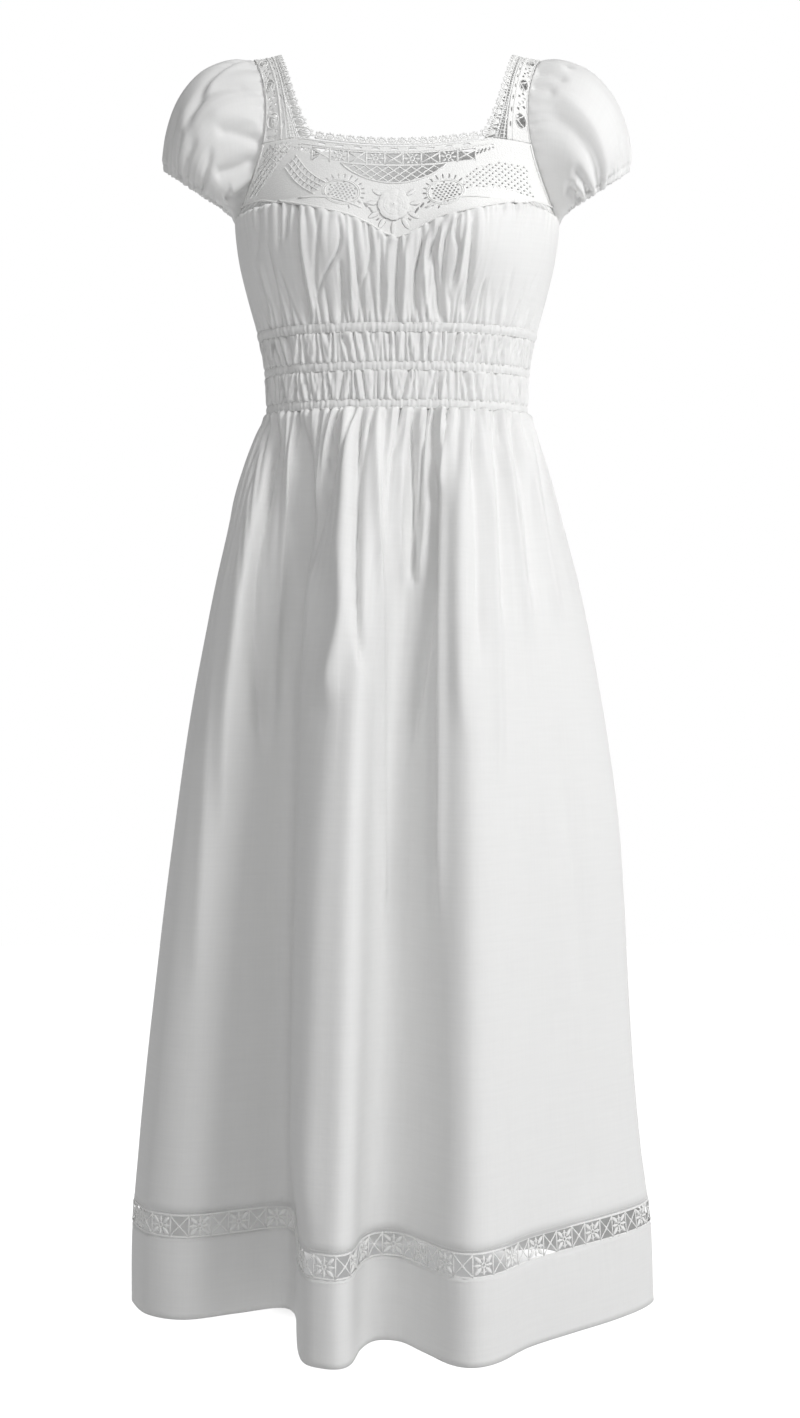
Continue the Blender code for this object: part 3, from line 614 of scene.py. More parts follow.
hemBand = {
    "rows": 15,
    "wall": 0.0014,
    "length": 0.078,
    "pucker": {"count": 90, "depth": 0.0004, "fade": 0.010, "uneven": 0.6, "seed": 31},
}


def buildHemBand(face):
    word = faceWords[face]
    high = skirt["laceLow"] + skirt["under"]
    levels = np.linspace(skirt["hem"], high, hemBand["rows"])
    shares = skirtColumns(face)
    share, height = np.meshgrid(shares, levels)
    points = onSkirt(face, share, height)
    out = gatherOut(share, high - height, hemBand["pucker"])
    out = out + crumple(share * hemArc[face], height, 0.09, 0.0007, 9 + face)
    points = raised(points, out * calmSides(share))
    piece = clothGrid("hem_border_" + word, points, shares * hemArc[face], levels, hemBand["wall"])
    sewOn(piece, cotton, "cotton", "hem_band_" + word)


for face in (front, back):
    buildSkirt(face)
    buildHemBand(face)
print("skirt and hem bands ready")

# Bodice: panels gathered into the yoke above and into the waist below
bodice = {
    "rows": 60,
    "columns": 330,
    "wall": 0.0008,
    "yokeGap": 0.0013,
    # share of the way from the centre to the armhole, then the front yoke's lower edge
    "yokeEdge": (
        (0.00, -0.2070), (0.08, -0.2030), (0.16, -0.1950), (0.27, -0.1870), (0.45, -0.1795), (0.68, -0.1680),
        (0.84, -0.1605), (1.00, -0.1570),
    ),
    "backSeam": -0.150,
    "creaseDepth": 1.3,
    "slim": 0.78,
    # gathers under the yoke, over the waist, and those that run through from one to the other
    "upper": {
        front: {"count": 46, "depth": 0.0030, "fade": 0.015, "uneven": 0.6, "seed": 41, "lean": 0.4},
        back: {"count": 34, "depth": 0.0028, "fade": 0.034, "uneven": 0.6, "seed": 43, "lean": 0.4},
    },
    "lower": {
        front: {"count": 60, "depth": 0.0031, "fade": 0.017, "uneven": 0.6, "seed": 45, "lean": 0.6},
        back: {"count": 48, "depth": 0.0027, "fade": 0.018, "uneven": 0.6, "seed": 47, "lean": 0.6},
    },
    "through": {
        front: {"count": 30, "depth": 0.0017, "fade": 5.0, "uneven": 0.7, "seed": 49, "lean": 0.3},
        back: {"count": 20, "depth": 0.0015, "fade": 5.0, "uneven": 0.7, "seed": 51, "lean": 0.3},
    },
    "weave": (0.47, 0.12),
    "cut": {front: (0.47, 0.125), back: (0.43, 0.135)},
    "over": {front: "yoke_lace", back: "yoke_back_cloth"},
    "creases": {
        front: (
            (-4.6, 3.4, 22, ((-94, -155), (-96, -207), (-92, -238), (-81, -290))),
            (2.6, 3.6, 26, ((-87, -165), (-89, -207), (-85, -238), (-75, -285))),
            (-3.0, 2.2, 14, ((-103, -155), (-107, -210))),
            (-2.0, 2.4, 14, ((-140, -214), (-128, -252), (-121, -292))),
            (1.8, 3.0, 14, ((-134, -214), (-123, -252), (-116, -292))),
            (-2.2, 2.2, 14, ((-126, -200), (-116, -246), (-109, -292))),
            (-2.0, 2.0, 12, ((-112, -230), (-103, -262), (-99, -292))),
            (-2.6, 2.2, 16, ((-110, -155), (-113, -215))),
            (-2.6, 2.6, 18, ((-131, -160), (-137, -222))),
            (-2.2, 2.4, 26, ((-70, -175), (-77, -227), (-76, -262))),
            (-2.8, 2.0, 22, ((-56, -178), (-55, -217), (-71, -244), (-78, -268))),
            (-3.4, 2.0, 16, ((-53, -222), (-52, -290))),
            (-2.2, 2.0, 26, ((-43, -182), (-37, -239), (-36, -290))),
            (2.0, 3.0, 26, ((-47, -190), (-43, -239), (-43, -280))),
            (-2.4, 2.0, 26, ((-28, -190), (-25, -226), (-33, -250), (-28, -290))),
            (-2.6, 1.9, 22, ((-15, -195), (-15, -239), (-17, -290))),
            (2.6, 4.0, 26, ((-7, -200), (-8, -242), (-8, -284))),
            (-5.0, 3.0, 22, ((3, -198), (0, -242), (0, -288))),
            (2.2, 3.4, 24, ((9, -205), (8, -242), (7, -284))),
            (-4.4, 2.4, 22, ((27, -190), (18, -242), (17, -284))),
            (-3.2, 1.9, 20, ((33, -186), (21, -224), (15, -252))),
            (3.0, 3.2, 20, ((27, -216), (27, -254), (30, -284))),
            (-5.4, 3.4, 18, ((33, -208), (39, -259), (43, -290))),
            (-3.4, 2.0, 20, ((45, -182), (31, -222), (25, -246))),
            (2.4, 2.6, 22, ((47, -186), (38, -222), (34, -250))),
            (-3.4, 2.2, 20, ((53, -180), (44, -220), (43, -256))),
            (-3.6, 2.2, 20, ((67, -170), (55, -204), (58, -214), (50, -256))),
            (2.6, 3.0, 20, ((69, -182), (63, -214), (57, -256))),
            (-4.4, 2.6, 22, ((73, -178), (69, -239), (63, -284))),
            (-1.6, 2.2, 12, ((84, -238), (75, -276))),
            (-1.5, 2.2, 12, ((101, -250), (91, -286))),
            (-1.6, 2.4, 14, ((112, -224), (102, -274))),
            (-1.6, 2.6, 18, ((138, -220), (115, -286))),
            (-1.8, 1.8, 8, ((84, -160), (83, -182))),
            (-1.8, 1.8, 8, ((92, -160), (92, -186))),
            (-1.8, 1.8, 8, ((101, -160), (100, -184))),
            (-1.6, 1.8, 8, ((112, -156), (113, -182))),
        ),
        back: (
            (-3.4, 2.6, 22, ((92, -140), (96, -200), (84, -290))),
            (-3.0, 2.4, 24, ((70, -140), (66, -210), (62, -270))),
            (2.4, 3.6, 26, ((56, -150), (54, -220), (52, -282))),
            (-3.8, 2.6, 24, ((44, -140), (46, -210), (38, -290))),
            (-2.6, 2.2, 26, ((22, -140), (18, -200), (20, -260))),
            (2.4, 4.0, 26, ((8, -150), (10, -220), (8, -282))),
            (-4.0, 2.8, 24, ((-4, -140), (-6, -220), (-2, -290))),
            (-3.0, 2.2, 24, ((-26, -140), (-22, -210), (-26, -280))),
            (2.6, 3.6, 26, ((-40, -150), (-38, -230), (-36, -284))),
            (-3.6, 2.6, 24, ((-54, -140), (-52, -200), (-48, -290))),
            (-3.0, 2.4, 24, ((-82, -140), (-86, -210), (-76, -284))),
            (-2.6, 2.4, 20, ((-106, -150), (-110, -220), (-98, -280))),
        ),
    },
}


def frontSeamHeight(share):
    # the yoke's lower edge, found on the body's outline
    height = np.full(np.shape(share), bodice["yokeEdge"][-1][1])
    rows = np.array(bodice["yokeEdge"])
    for _ in range(5):
        across = np.abs(onBody(front, share, height)[..., 0]) / panelEdge(front, height)[0]
        height = np.interp(across, rows[:, 0], rows[:, 1])
    return height - bodice["yokeGap"] * (1 + 0.5 * across**2)


def buildBodice(face):
    word = faceWords[face]
    seam = form["casings"][0] + form["casingHeight"] / 2 + form["seamGap"]
    shares = np.linspace(0.0005, 0.9995, bodice["columns"])
    levels = np.linspace(0, 1, bodice["rows"])
    share, level = np.meshgrid(shares, levels)
    low = waistHeight(seam - waist["under"], share)
    if face == front:
        high = frontSeamHeight(share) + 0.003
    else:
        high = np.full(share.shape, bodice["backSeam"] + 0.002)
    height = low + level * (high - low)
    points = onBody(face, share, height)
    x, z = points[..., 0], points[..., 2]
    out = gatherOut(share, high - height, bodice["upper"][face])
    out = out + gatherOut(share, height - low, bodice["lower"][face])
    middle = np.exp(-(((x - 0.004) / 0.052) ** 2)) if face == front else 1
    out = out + gatherOut(share, height * 0, bodice["through"][face]) * middle
    creased = creaseOut(x * 1000, z * 1000, bodice["creases"][face], bodice["slim"])
    out = (out + bodice["creaseDepth"] * creased) * calmSides(share, 0.03)
    points = raised(points, tuckedIn(out, np.minimum(height - low, high - height)))
    across, along = shares * bodice["weave"][0], levels * bodice["weave"][1]
    piece = clothGrid("bodice_panel_" + word, points, across, along, bodice["wall"])
    sewOn(piece, cotton, "cotton", "bodice_" + word)


def buildChannel(face, number, high, low):
    word = faceWords[face]
    gap, under = form["casingHeight"] / 2 + form["seamGap"], waist["under"]
    wide, long = waist["channelCut"]
    shares = np.linspace(0.0005, 0.9995, waist["channelColumns"])
    levels = np.linspace(0, 1, waist["channelRows"])
    share, level = np.meshgrid(shares, levels)
    height = waistHeight(low + gap - under + level * (high - low - 2 * gap + 2 * under), share)
    seed = 60 + 10 * number + face
    out = gatherOut(share, level * long, {**waist["gather"], "seed": seed})
    out = out + gatherOut(share, level * long, {**waist["small"], "seed": seed + 3})
    out = tuckedIn(out, np.minimum(level, 1 - level) * (high - low), 0.003, 0.45, 0.0007)
    points = raised(onBody(face, share, height), out)
    piece = clothGrid(f"waist_channel_{number}_{word}", points, shares * wide, levels * long, waist["wall"])
    sewOn(piece, cotton, "cotton", f"waist_shirring_{number}_{word}")


def onCasing(face, middle, share, up):
    # up runs from 0 at the casing's lower edge to 1 at its upper edge
    height = waistHeight(middle + (up - 0.5) * form["casingHeight"], share)
    grooves = np.exp(-(((up - 0.16) / 0.07) ** 2)) + np.exp(-(((up - 0.84) / 0.07) ** 2))
    out = waist["proud"] + waist["dome"] * (1 - (2 * up - 1) ** 2) - waist["groove"] * grooves
    return onBody(face, share, height, out)


def buildCasing(face, number, middle):
    word = faceWords[face]
    high = form["casingHeight"]
    shares = np.linspace(0.0005, 0.9995, waist["casingColumns"])
    levels = np.linspace(0, 1, waist["casingRows"])
    share, up = np.meshgrid(shares, levels)
    out = gatherOut(share, up * high, {**waist["pucker"], "seed": 80 + number + 5 * face})
    points = raised(onCasing(face, middle, share, up), out)
    across, along = shares * waist["casingCut"][0], levels * high
    piece = clothGrid(f"waist_band_{number}_{word}", points, across, along, waist["casingWall"])
    sewOn(piece, cotton, "cotton", f"waist_casing_{number}_{word}")


for face in (front, back):
    buildBodice(face)
    for number, middle in enumerate(form["casings"], start=1):
        buildCasing(face, number, middle)
    for number, (high, low) in enumerate(zip(form["casings"], form["casings"][1:]), start=1):
        buildChannel(face, number, high, low)
print("bodice and waist ready")

# Sleeves: puffs gathered into the armhole and into an elastic cuff
sleeve = {
    # share of the way out, upper end in X and Z, lower end in X and Z, half depth
    "sections": (
        (0.00, 0.1437, -0.0046, 0.1585, -0.1660, 0.069), (0.16, 0.1630, -0.0040, 0.1600, -0.1650, 0.075),
        (0.38, 0.1960, -0.0180, 0.1610, -0.1635, 0.079), (0.58, 0.2190, -0.0460, 0.1620, -0.1615, 0.077),
        (0.76, 0.2300, -0.0780, 0.1630, -0.1590, 0.068), (0.92, 0.2310, -0.1040, 0.1640, -0.1560, 0.053),
        (1.00, 0.2295, -0.1120, 0.1650, -0.1550, 0.048),
    ),
    "tilt": 0.20,  # the cuff hangs lower in front
    "gap": 0.0006,
    "rows": 64,
    "columns": 190,
    "wall": 0.0008,
    "length": 0.20,
    "girth": 0.42,
    "cap": {"count": 36, "depth": 0.0020, "fade": 0.011, "uneven": 0.6, "lean": 0.8, "calmEnds": False},
    "cuff": {"count": 46, "depth": 0.0036, "fade": 0.011, "uneven": 0.6, "lean": 0.8, "calmEnds": False},
    "cuffFrom": 0.925,
    "wrinkleDepth": {left: 1.45, right: 1.8},
    # soft wrinkles: millimetres out, half width, soft ends, points round (degrees) and out (percent)
    "wrinkles": {
        left: (
            (-2.4, 4.5, 9, ((-13, -6), (-8, 20), (2, 44))),
            (1.6, 6, 12, ((-5, -4), (5, 22), (14, 48))),
            (-2.6, 5, 14, ((20, 4), (30, 26), (34, 60))),
            (-3.0, 6, 12, ((76, -4), (60, 20), (38, 44), (26, 66))),
            (1.8, 5, 12, ((62, -2), (48, 22), (30, 46))),
            (-3.2, 6, 12, ((-22, -4), (-31, 26), (-26, 62))),
            (2.2, 4, 10, ((-32, -6), (-43, 18), (-47, 42))),
            (-3.4, 5, 12, ((-48, -4), (-56, 26), (-52, 66))),
            (-2.6, 5, 14, ((-8, 46), (-15, 74), (-10, 100))),
            (-2.4, 4, 12, ((9, 56), (12, 76), (10, 100))),
            (-2.4, 5, 12, ((30, 62), (30, 80), (27, 100))),
            (1.8, 6, 12, ((20, 58), (21, 78), (19, 98))),
            (-2.2, 5, 12, ((52, 56), (49, 78), (45, 100))),
        ),
        right: (
            (-2.8, 4, 8, ((68, -6), (62, 14), (57, 28))),
            (2.0, 4, 8, ((58, -4), (52, 14), (49, 26))),
            (-2.6, 4, 8, ((47, -6), (41, 12), (36, 27))),
            (-2.0, 4, 7, ((31, -5), (27, 10), (22, 22))),
            (-2.4, 10, 22, ((10, 4), (-2, 44), (-9, 98))),
            (1.8, 9, 22, ((24, 12), (13, 50), (6, 96))),
            (-2.6, 5, 12, ((-27, 44), (-25, 72), (-20, 100))),
            (2.0, 4, 12, ((-35, 50), (-32, 74), (-27, 98))),
            (-3.0, 5, 12, ((-45, 38), (-41, 70), (-34, 100))),
            (-1.6, 6, 14, ((44, 66), (40, 82), (37, 100))),
        ),
        "behind": (
            (-2.2, 7, 16, ((104, -4), (92, 30), (84, 60))),
            (-2.2, 7, 16, ((150, -2), (160, 36), (170, 66))),
            (-2.4, 7, 16, ((190, -2), (196, 44), (190, 86))),
            (1.8, 8, 18, ((172, 2), (180, 40), (176, 74))),
            (-2.2, 6, 14, ((130, 54), (136, 98))),
            (-2.0, 6, 14, ((214, 50), (210, 98))),
        ),
    },
}


def onSleeve(side, along, turn):
    # an ellipse whose long axis runs from the underarm to the crown
    topX, topZ, lowX, lowZ, deep = (curveThrough(sleeve["sections"], column, along) for column in range(1, 6))
    up, forward = np.sin(turn), np.cos(turn)
    deep = deep * np.where(forward < 0, armhole["back"] / armhole["front"], 1)
    bow = armhole["bow"] * forward**2 * (1 - along) ** 2
    halfX, halfZ = (topX - lowX) / 2, (topZ - lowZ) / 2
    x = (topX + lowX) / 2 + halfX * up - bow + sleeve["gap"]
    y = -deep * forward
    return np.stack([side * x, y, (topZ + lowZ) / 2 + halfZ * up + sleeve["tilt"] * y * along**2], -1)


def buildSleeve(side):
    word = sideWords[side]
    turns = np.linspace(0, 2 * math.pi, sleeve["columns"], endpoint=False)
    run = np.linspace(0, 1, sleeve["rows"])
    alongs = run - 0.055 * np.sin(2 * math.pi * run)  # closer rows at the seam and the cuff
    turn, along = np.meshgrid(turns, alongs)
    points = onSleeve(side, along, turn)
    share = turn / (2 * math.pi)
    away = along * 0.10
    toCuff = np.clip(sleeve["cuffFrom"] - along, 0, None) * 0.10
    upper = 0.35 + 0.65 * smoothStep((np.sin(turn) + 0.5) / 1.1)  # most of the fullness is over the shoulder
    degrees = (np.degrees(turn) + 90) % 360 - 90
    out = gatherOut(share, away, {**sleeve["cap"], "seed": 101 + side}) * upper
    cuffed = smoothStep((along - sleeve["cuffFrom"]) / 0.02)
    gathers = gatherOut(share, toCuff, {**sleeve["cuff"], "seed": 105 + side})
    out = out + gathers * (1 - 0.35 * cuffed) * (0.6 + 0.4 * upper)
    for wrinkles in (sleeve["wrinkles"][side], sleeve["wrinkles"]["behind"]):
        out = out + sleeve["wrinkleDepth"][side] * creaseOut(degrees, along * 100, wrinkles)
    out = out + crumple(turn * 0.075, along * 0.10, 0.05, 0.0009, 111 + side) * np.sin(math.pi * along)
    # the elastic draws the cuff in
    out = out - 0.0016 * np.exp(-(((along - sleeve["cuffFrom"]) / 0.02) ** 2))
    normals = gridNormals(points, closed=True)
    outward = points - points.mean(axis=1, keepdims=True)
    if (normals * outward).sum() < 0:
        normals = -normals
    held = smoothStep(along / 0.02)
    points = points + normals * (out * (0.3 + 0.7 * held))[..., None]
    # the cap's edge turns in under the yoke and the strap
    turnedIn = points[:1] - normals[:1] * 0.0010
    turnedIn[..., 0] -= side * 0.0020
    points = np.concatenate([turnedIn, points])
    long, girth = sleeve["length"], sleeve["girth"]
    alongs = np.concatenate([[-0.01], alongs]) * long
    across = np.linspace(0, girth, sleeve["columns"] + 1)
    piece = clothGrid("sleeve_puff_" + word, points, across, alongs, sleeve["wall"], True, flip=side == right)
    sewOn(piece, cotton, "cotton", "sleeve_" + word)


for side in (left, right):
    buildSleeve(side)
print("sleeves ready")

# Threads: tubes laid on a surface, for lace, cords and stitches

def startWork(place):
    return {"place": place, "points": [], "faces": [], "count": 0}


def pairs(u, v):
    return np.stack(np.broadcast_arrays(u, v), -1)


def between(start, end, count=3):
    t = np.linspace(0, 1, count)[:, None]
    return np.array(start) * (1 - t) + np.array(end) * t


def beaded(count, depth):
    # the thick and thin of crocheted loops, three points a loop
    return 1 + depth * np.cos(2 * math.pi * np.arange(count) / 3)


def addThread(work, path, radius, flat=0.7, lift=0.0, sides=6, closed=False):
    # path holds points across and up the surface, in metres
    place = work["place"]
    u, v = np.array(path, float).T
    e = 0.0004
    normal = np.cross(place(u + e, v) - place(u - e, v), place(u, v + e) - place(u, v - e))
    normal /= np.maximum(np.linalg.norm(normal, axis=1, keepdims=True), 1e-12)
    spot = place(u, v) + normal * np.reshape(lift, (-1, 1))
    along = np.roll(spot, -1, 0) - np.roll(spot, 1, 0) if closed else np.gradient(spot, axis=0)
    side = np.cross(normal, along)
    side /= np.maximum(np.linalg.norm(side, axis=1, keepdims=True), 1e-12)
    wide = np.broadcast_to(np.asarray(radius, float), len(u))[:, None, None]
    angle = 2 * math.pi * np.arange(sides) / sides
    cosine, sine = np.cos(angle)[None, :, None], np.sin(angle)[None, :, None]
    ring = spot[:, None] + wide * (cosine * side[:, None] + flat * sine * normal[:, None])
    count = len(u)
    index = work["count"] + np.arange(count * sides).reshape(count, sides)
    if closed:
        index = np.concatenate([index, index[:1]])
    beside = np.roll(index, -1, 1)
    walls = np.stack([index[:-1], index[1:], beside[1:], beside[:-1]], -1).reshape(-1, 4)
    work["faces"] += walls.tolist()
    if not closed:
        work["faces"] += [index[0].tolist(), index[-1][::-1].tolist()]
    work["points"].append(ring.reshape(-1, 3))
    work["count"] += count * sides


def addLeaf(work, start, end, width, flat=0.5, lift=0.0, sides=6, samples=7):
    # a padded leaf or petal between two points
    swell = 0.12 + 0.88 * np.sin(math.pi * np.linspace(0, 1, samples)) ** 0.7
    addThread(work, between(start, end, samples), width / 2 * swell, flat, lift, sides)


def addRing(work, centre, across, up, radius, count=14, **more):
    turn = np.linspace(0, 2 * math.pi, count, endpoint=False)
    path = pairs(centre[0] + across * np.cos(turn), centre[1] + up * np.sin(turn))
    addThread(work, path, radius, closed=True, **more)


def addStitches(work, u, v, pitch, radius, lift):
    # running stitches along a path, with short spaces between them; their ends are thin and sink in
    spots = work["place"](u, v)
    run = np.concatenate([[0], np.cumsum(np.linalg.norm(np.diff(spots, axis=0), axis=1))])
    thin, sunk = np.array([0.45, 1, 0.45]), np.array([-0.6, 0, -0.6])
    for start in np.arange(pitch * 0.2, run[-1] - pitch, pitch):
        at = start + np.array([0, 0.36, 0.72]) * pitch
        stitch = pairs(np.interp(at, run, u), np.interp(at, run, v))
        addThread(work, stitch, radius * thin, 0.8, lift + sunk * radius, sides=4)


def threadPiece(name, work, material, slotName, *nodes):
    mesh = bpy.data.meshes.new(name)
    mesh.from_pydata(np.concatenate(work["points"]).tolist(), [], work["faces"])
    return sewOn(clothPiece(name, mesh, 0), material, slotName, *nodes)


# Ladder lace: open squares crossed by two bars, and daisies between them
ladder = {
    "repeats": 23,
    "high": 0.023,
    "rail": 0.0021,
    "loop": 0.0026,  # one crocheted loop of a rail
    "openShare": 0.46,
    "margin": 0.0004,
    "post": 0.00075,
    "bar": 0.00062,
    "knot": 0.0009,
    "knotThread": 0.0005,
    "petal": 0.0042,
    "smallPetal": 0.0028,
    "heart": 0.0021,
    "heartThread": 0.00075,
    "ring": 0.00042,
}


def addDaisy(work, middle, halfWide, halfHigh, low, high):
    # a daisy of crochet petals in its square, left out where it would pass the lace's ends
    u, v = middle
    if low < u < high:
        addRing(work, middle, ladder["heart"], ladder["heart"], ladder["heartThread"], 10, sides=5)
    for step in range(8):
        turn, slant = math.pi / 4 * step, step % 2
        reach = 0.88 if slant else 0.96
        reachU = reach * halfWide * round(math.cos(turn) * 1.2)
        reachV = reach * halfHigh * round(math.sin(turn) * 1.2)
        start, end = (u + 0.24 * reachU, v + 0.24 * reachV), (u + reachU, v + reachV)
        if min(start[0], end[0]) > low and max(start[0], end[0]) < high:
            addLeaf(work, start, end, ladder["petal"] if slant else ladder["smallPetal"], samples=6)
    if low < u - 0.66 * halfWide and u + 0.66 * halfWide < high:
        addRing(work, middle, 0.66 * halfWide, 0.66 * halfHigh, ladder["ring"], 20, sides=5)


def ladderLace(place, length, height):
    work = startWork(place)
    rail, margin, pitch = ladder["rail"], ladder["margin"], length / ladder["repeats"]
    low, high, middle = rail, height - rail, height / 2
    openHalf, closedHalf = pitch * ladder["openShare"] / 2, pitch * (1 - ladder["openShare"]) / 2
    for number in range(ladder["repeats"] + 1):
        addDaisy(work, (number * pitch, middle), closedHalf, (high - low) / 2, margin, length - margin)
    for number in range(ladder["repeats"]):
        at = (number + 0.5) * pitch
        west, east = at - openHalf, at + openHalf
        for u in (west, east):
            addThread(work, between((u, low * 0.6), (u, height - low * 0.6)), ladder["post"])
        t = np.linspace(-0.5, 0.5, 7)
        bulge = 1 + 0.5 * np.exp(-((t / 0.1) ** 2)) + 0.35 * (np.abs(t) > 0.45)
        for start, end in (((west, low), (east, high)), ((west, high), (east, low))):
            addThread(work, between(start, end, 7), ladder["bar"] * bulge, lift=0.0003)
        knot = ladder["knot"]
        addRing(work, (at, middle), knot, knot, ladder["knotThread"], 6, sides=5, lift=0.0004)
    for u in (margin, length - margin):
        addThread(work, between((u, margin), (u, height - margin)), margin)
    along = np.linspace(margin, length - margin, int(length / ladder["loop"]) * 3)
    for v in (rail * 0.55, height - rail * 0.55):
        addThread(work, pairs(along, v), rail * 0.52 * beaded(len(along), 0.18), 0.30, -0.0001)
    return work


def buildHemLace(face):
    word = faceWords[face]

    def laceFloor(u, v):
        return onSkirt(face, u / hemArc[face], skirt["laceLow"] + v)

    work = ladderLace(laceFloor, hemArc[face], skirt["laceHigh"] - skirt["laceLow"])
    piece = threadPiece("hem_insertion_" + word, work, crochet, "crochet", "hem_lace_" + word)


for face in (front, back):
    buildHemLace(face)
print("hem lace ready")

# Straps: insertion lace on the armhole side, a scalloped edging on the neck side
strap = {
    "laceShare": 0.60,
    "top": 0.115,
    "lean": 1.2,
    "climb": 0.9,
    "rounding": 0.015,
    "roundingReach": 0.045,
    "length": 0.30,
    "width": 0.032,
    "repeats": 7,
    "scallop": 0.0088,
    "laceMiddle": 0.0074,
    "opening": (0.0150, 0.0094),
    "bar": 0.0007,
    "small": (0.0034, 0.0030),
    "narrow": (0.0058, 0.0014),
    # the cluster of small openings between two round ones: along and across, from its middle
    "cluster": (
        (-0.0096, 0.0028), (-0.0052, -0.0030), (-0.0040, 0.0022), (0.0002, -0.0012),
        (0.0050, 0.0030), (0.0048, -0.0028), (0.0098, -0.0008),
    ),
}


def onStrap(side, along, across):
    # along runs over the shoulder to the back, across from the armhole to the neck
    along = np.clip(along, 0, 1)
    cornerFront, cornerBack = form["neckCorner"][front], form["neckCorner"][back]
    start = math.asin((cornerFront - armhole["height"]) / armhole["half"])
    end = math.pi - math.asin((cornerBack - armhole["height"]) / armhole["half"])
    outer = armholeAt(side, start + along * (end - start))
    climb = along * math.pi
    lifted = np.clip(np.sin(climb), 0, 1)
    neckX = form["neckHalf"] + (strap["top"] - form["neckHalf"]) * lifted ** strap["lean"]
    frontDepth = abs(float(bodyDepth(front, form["neckHalf"], np.array(cornerFront))))
    backDepth = abs(float(bodyDepth(back, form["neckHalf"], np.array(cornerBack))))
    neckY = -np.where(along < 0.5, frontDepth, backDepth) * np.cos(climb)
    neckZ = np.where(along < 0.5, cornerFront, cornerBack) * (1 - lifted ** strap["climb"])
    inner = np.stack([side * neckX, neckY, neckZ], -1)
    turned = np.clip(across - strap["laceShare"], 0, None) / (1 - strap["laceShare"])
    rounding = strap["rounding"] * turned * np.exp(-np.minimum(along, 1 - along) / strap["roundingReach"])
    made = outer + (inner - outer) * np.asarray(across)[..., None]
    made[..., 0] -= side * rounding
    return made


edging = {
    "heading": 0.00085,
    "second": 0.0006,
    "post": 0.00042,
    "arc": 0.0006,
    "fan": {True: 0.001575, False: 0.00126},
    "picot": 0.0007,
    "picotThread": 0.000385,
}


def scallopEdging(work, length, base, depth, pitch, posts):
    # a heading, a row of small posts where there is one, and a fan with picots for each scallop
    count = round(length / pitch)
    pitch = length / count
    root = base + (0.36 if posts else 0.08) * depth
    high = base + depth - root
    line = np.linspace(0.0005, length - 0.0005, count * 6)
    uneven = 1 + 0.15 * np.cos(np.arange(len(line)) * 2.1)
    addThread(work, pairs(line, base + edging["heading"]), edging["heading"] * uneven)
    if posts:
        addThread(work, pairs(line, root), edging["second"] * uneven, sides=5)
        for u in np.linspace(pitch / 6, length - pitch / 6, count * 3):
            addThread(work, [(u, base), (u, root)], edging["post"], sides=5)
    turn = np.linspace(0, math.pi, 9)
    for number in range(count):
        middle = (number + 0.5) * pitch
        arc = pairs(middle - 0.49 * pitch * np.cos(turn), root + 0.86 * high * np.sin(turn) ** 0.8)
        addThread(work, arc, edging["arc"], 0.8, sides=5)
        for spoke in (-0.34, -0.17, 0, 0.17, 0.34):
            start = (middle + 0.25 * spoke * pitch, root + 0.0002)
            end = (middle + 1.15 * spoke * pitch, root + 0.80 * high * math.cos(spoke * 1.9))
            addLeaf(work, start, end, edging["fan"][posts], 0.55, sides=5, samples=5)
        for spoke in (-0.30, 0, 0.30):
            spot = (middle + spoke * pitch, root + 0.86 * high * math.cos(spoke * 1.7) + 0.0005)
            addRing(work, spot, edging["picot"], edging["picot"], edging["picotThread"], 6, sides=4)


# Yoke: a ground of close crochet with openings, filled by threads, and raised work on it
yoke = {
    "wall": 0.0011,
    "pitch": 0.0016,
    "gap": 0.0003,
    "centre": -0.003,
    "edgingDrop": 0.0086,
    "edgingDepth": 0.0080,
    "edgingPitch": 0.0098,
    "ribDrop": 0.0038,
    "squareHigh": 0.0112,
    "squarePitch": 0.01725,
    "squares": 9,
    "squarePost": 0.0010,
    "squareBar": 0.00085,
    "netHalf": 0.050,
    "netDeep": 0.0175,
    "netPitch": 0.0108,
    "netSlope": 0.70,
    "netThread": 0.00082,
    "medallionAt": 0.0490,
    "medallionHeight": -0.1627,
    "medallionAcross": 0.0150,
    "medallionUp": 0.0105,
    "medallionTilt": -0.20,
    "meshHole": (0.0027, 0.0024),
    "meshPitch": (0.0040, 0.0024),
    "filetFrom": (-0.1000, -0.1290),
    "filetTo": (-0.0745, -0.1555),
    "filetPitch": 0.0051,
    "filetHole": 0.0041,
    "filetSag": 0.0030,
    "rosetteHeight": -0.1760,
    "rosetteRadius": 0.0145,
    # raised leaves round the rosette, from its rim out: direction, length and width
    "leafStart": 0.0150,
    "leaves": (
        (-90, 0.0145, 0.0060), (-58, 0.0120, 0.0052), (-28, 0.0120, 0.0050),
        (4, 0.0105, 0.0046), (36, 0.0100, 0.0042),
    ),
}

# Two nets of small diamonds: on the right between the medallion and the armhole, and along the left armhole
sideNet = {
    "outline": (
        (0.061, -0.1590), (0.066, -0.1440), (0.078, -0.1350), (0.096, -0.1290),
        (0.124, -0.1270), (0.132, -0.1560), (0.096, -0.1540), (0.078, -0.1560),
    ),
    "start": (0.060, -0.1290),
    "pitch": (0.0062, 0.0029),
    "hole": (0.0012, 0.0011),
    "thread": 0.00050,
    "rows": 12,
    "columns": 13,
}
armholeNet = {
    "outline": (
        (-0.0985, -0.1085), (-0.1130, -0.1085), (-0.1290, -0.1300),
        (-0.1450, -0.1530), (-0.1330, -0.1530), (-0.1200, -0.1360),
    ),
    "start": (-0.0995, -0.1095),
    "pitch": (-0.0056, 0.0032),
    "hole": (0.0023, 0.0025),
    "thread": 0.00055,
    "rows": 14,
    "columns": 9,
}


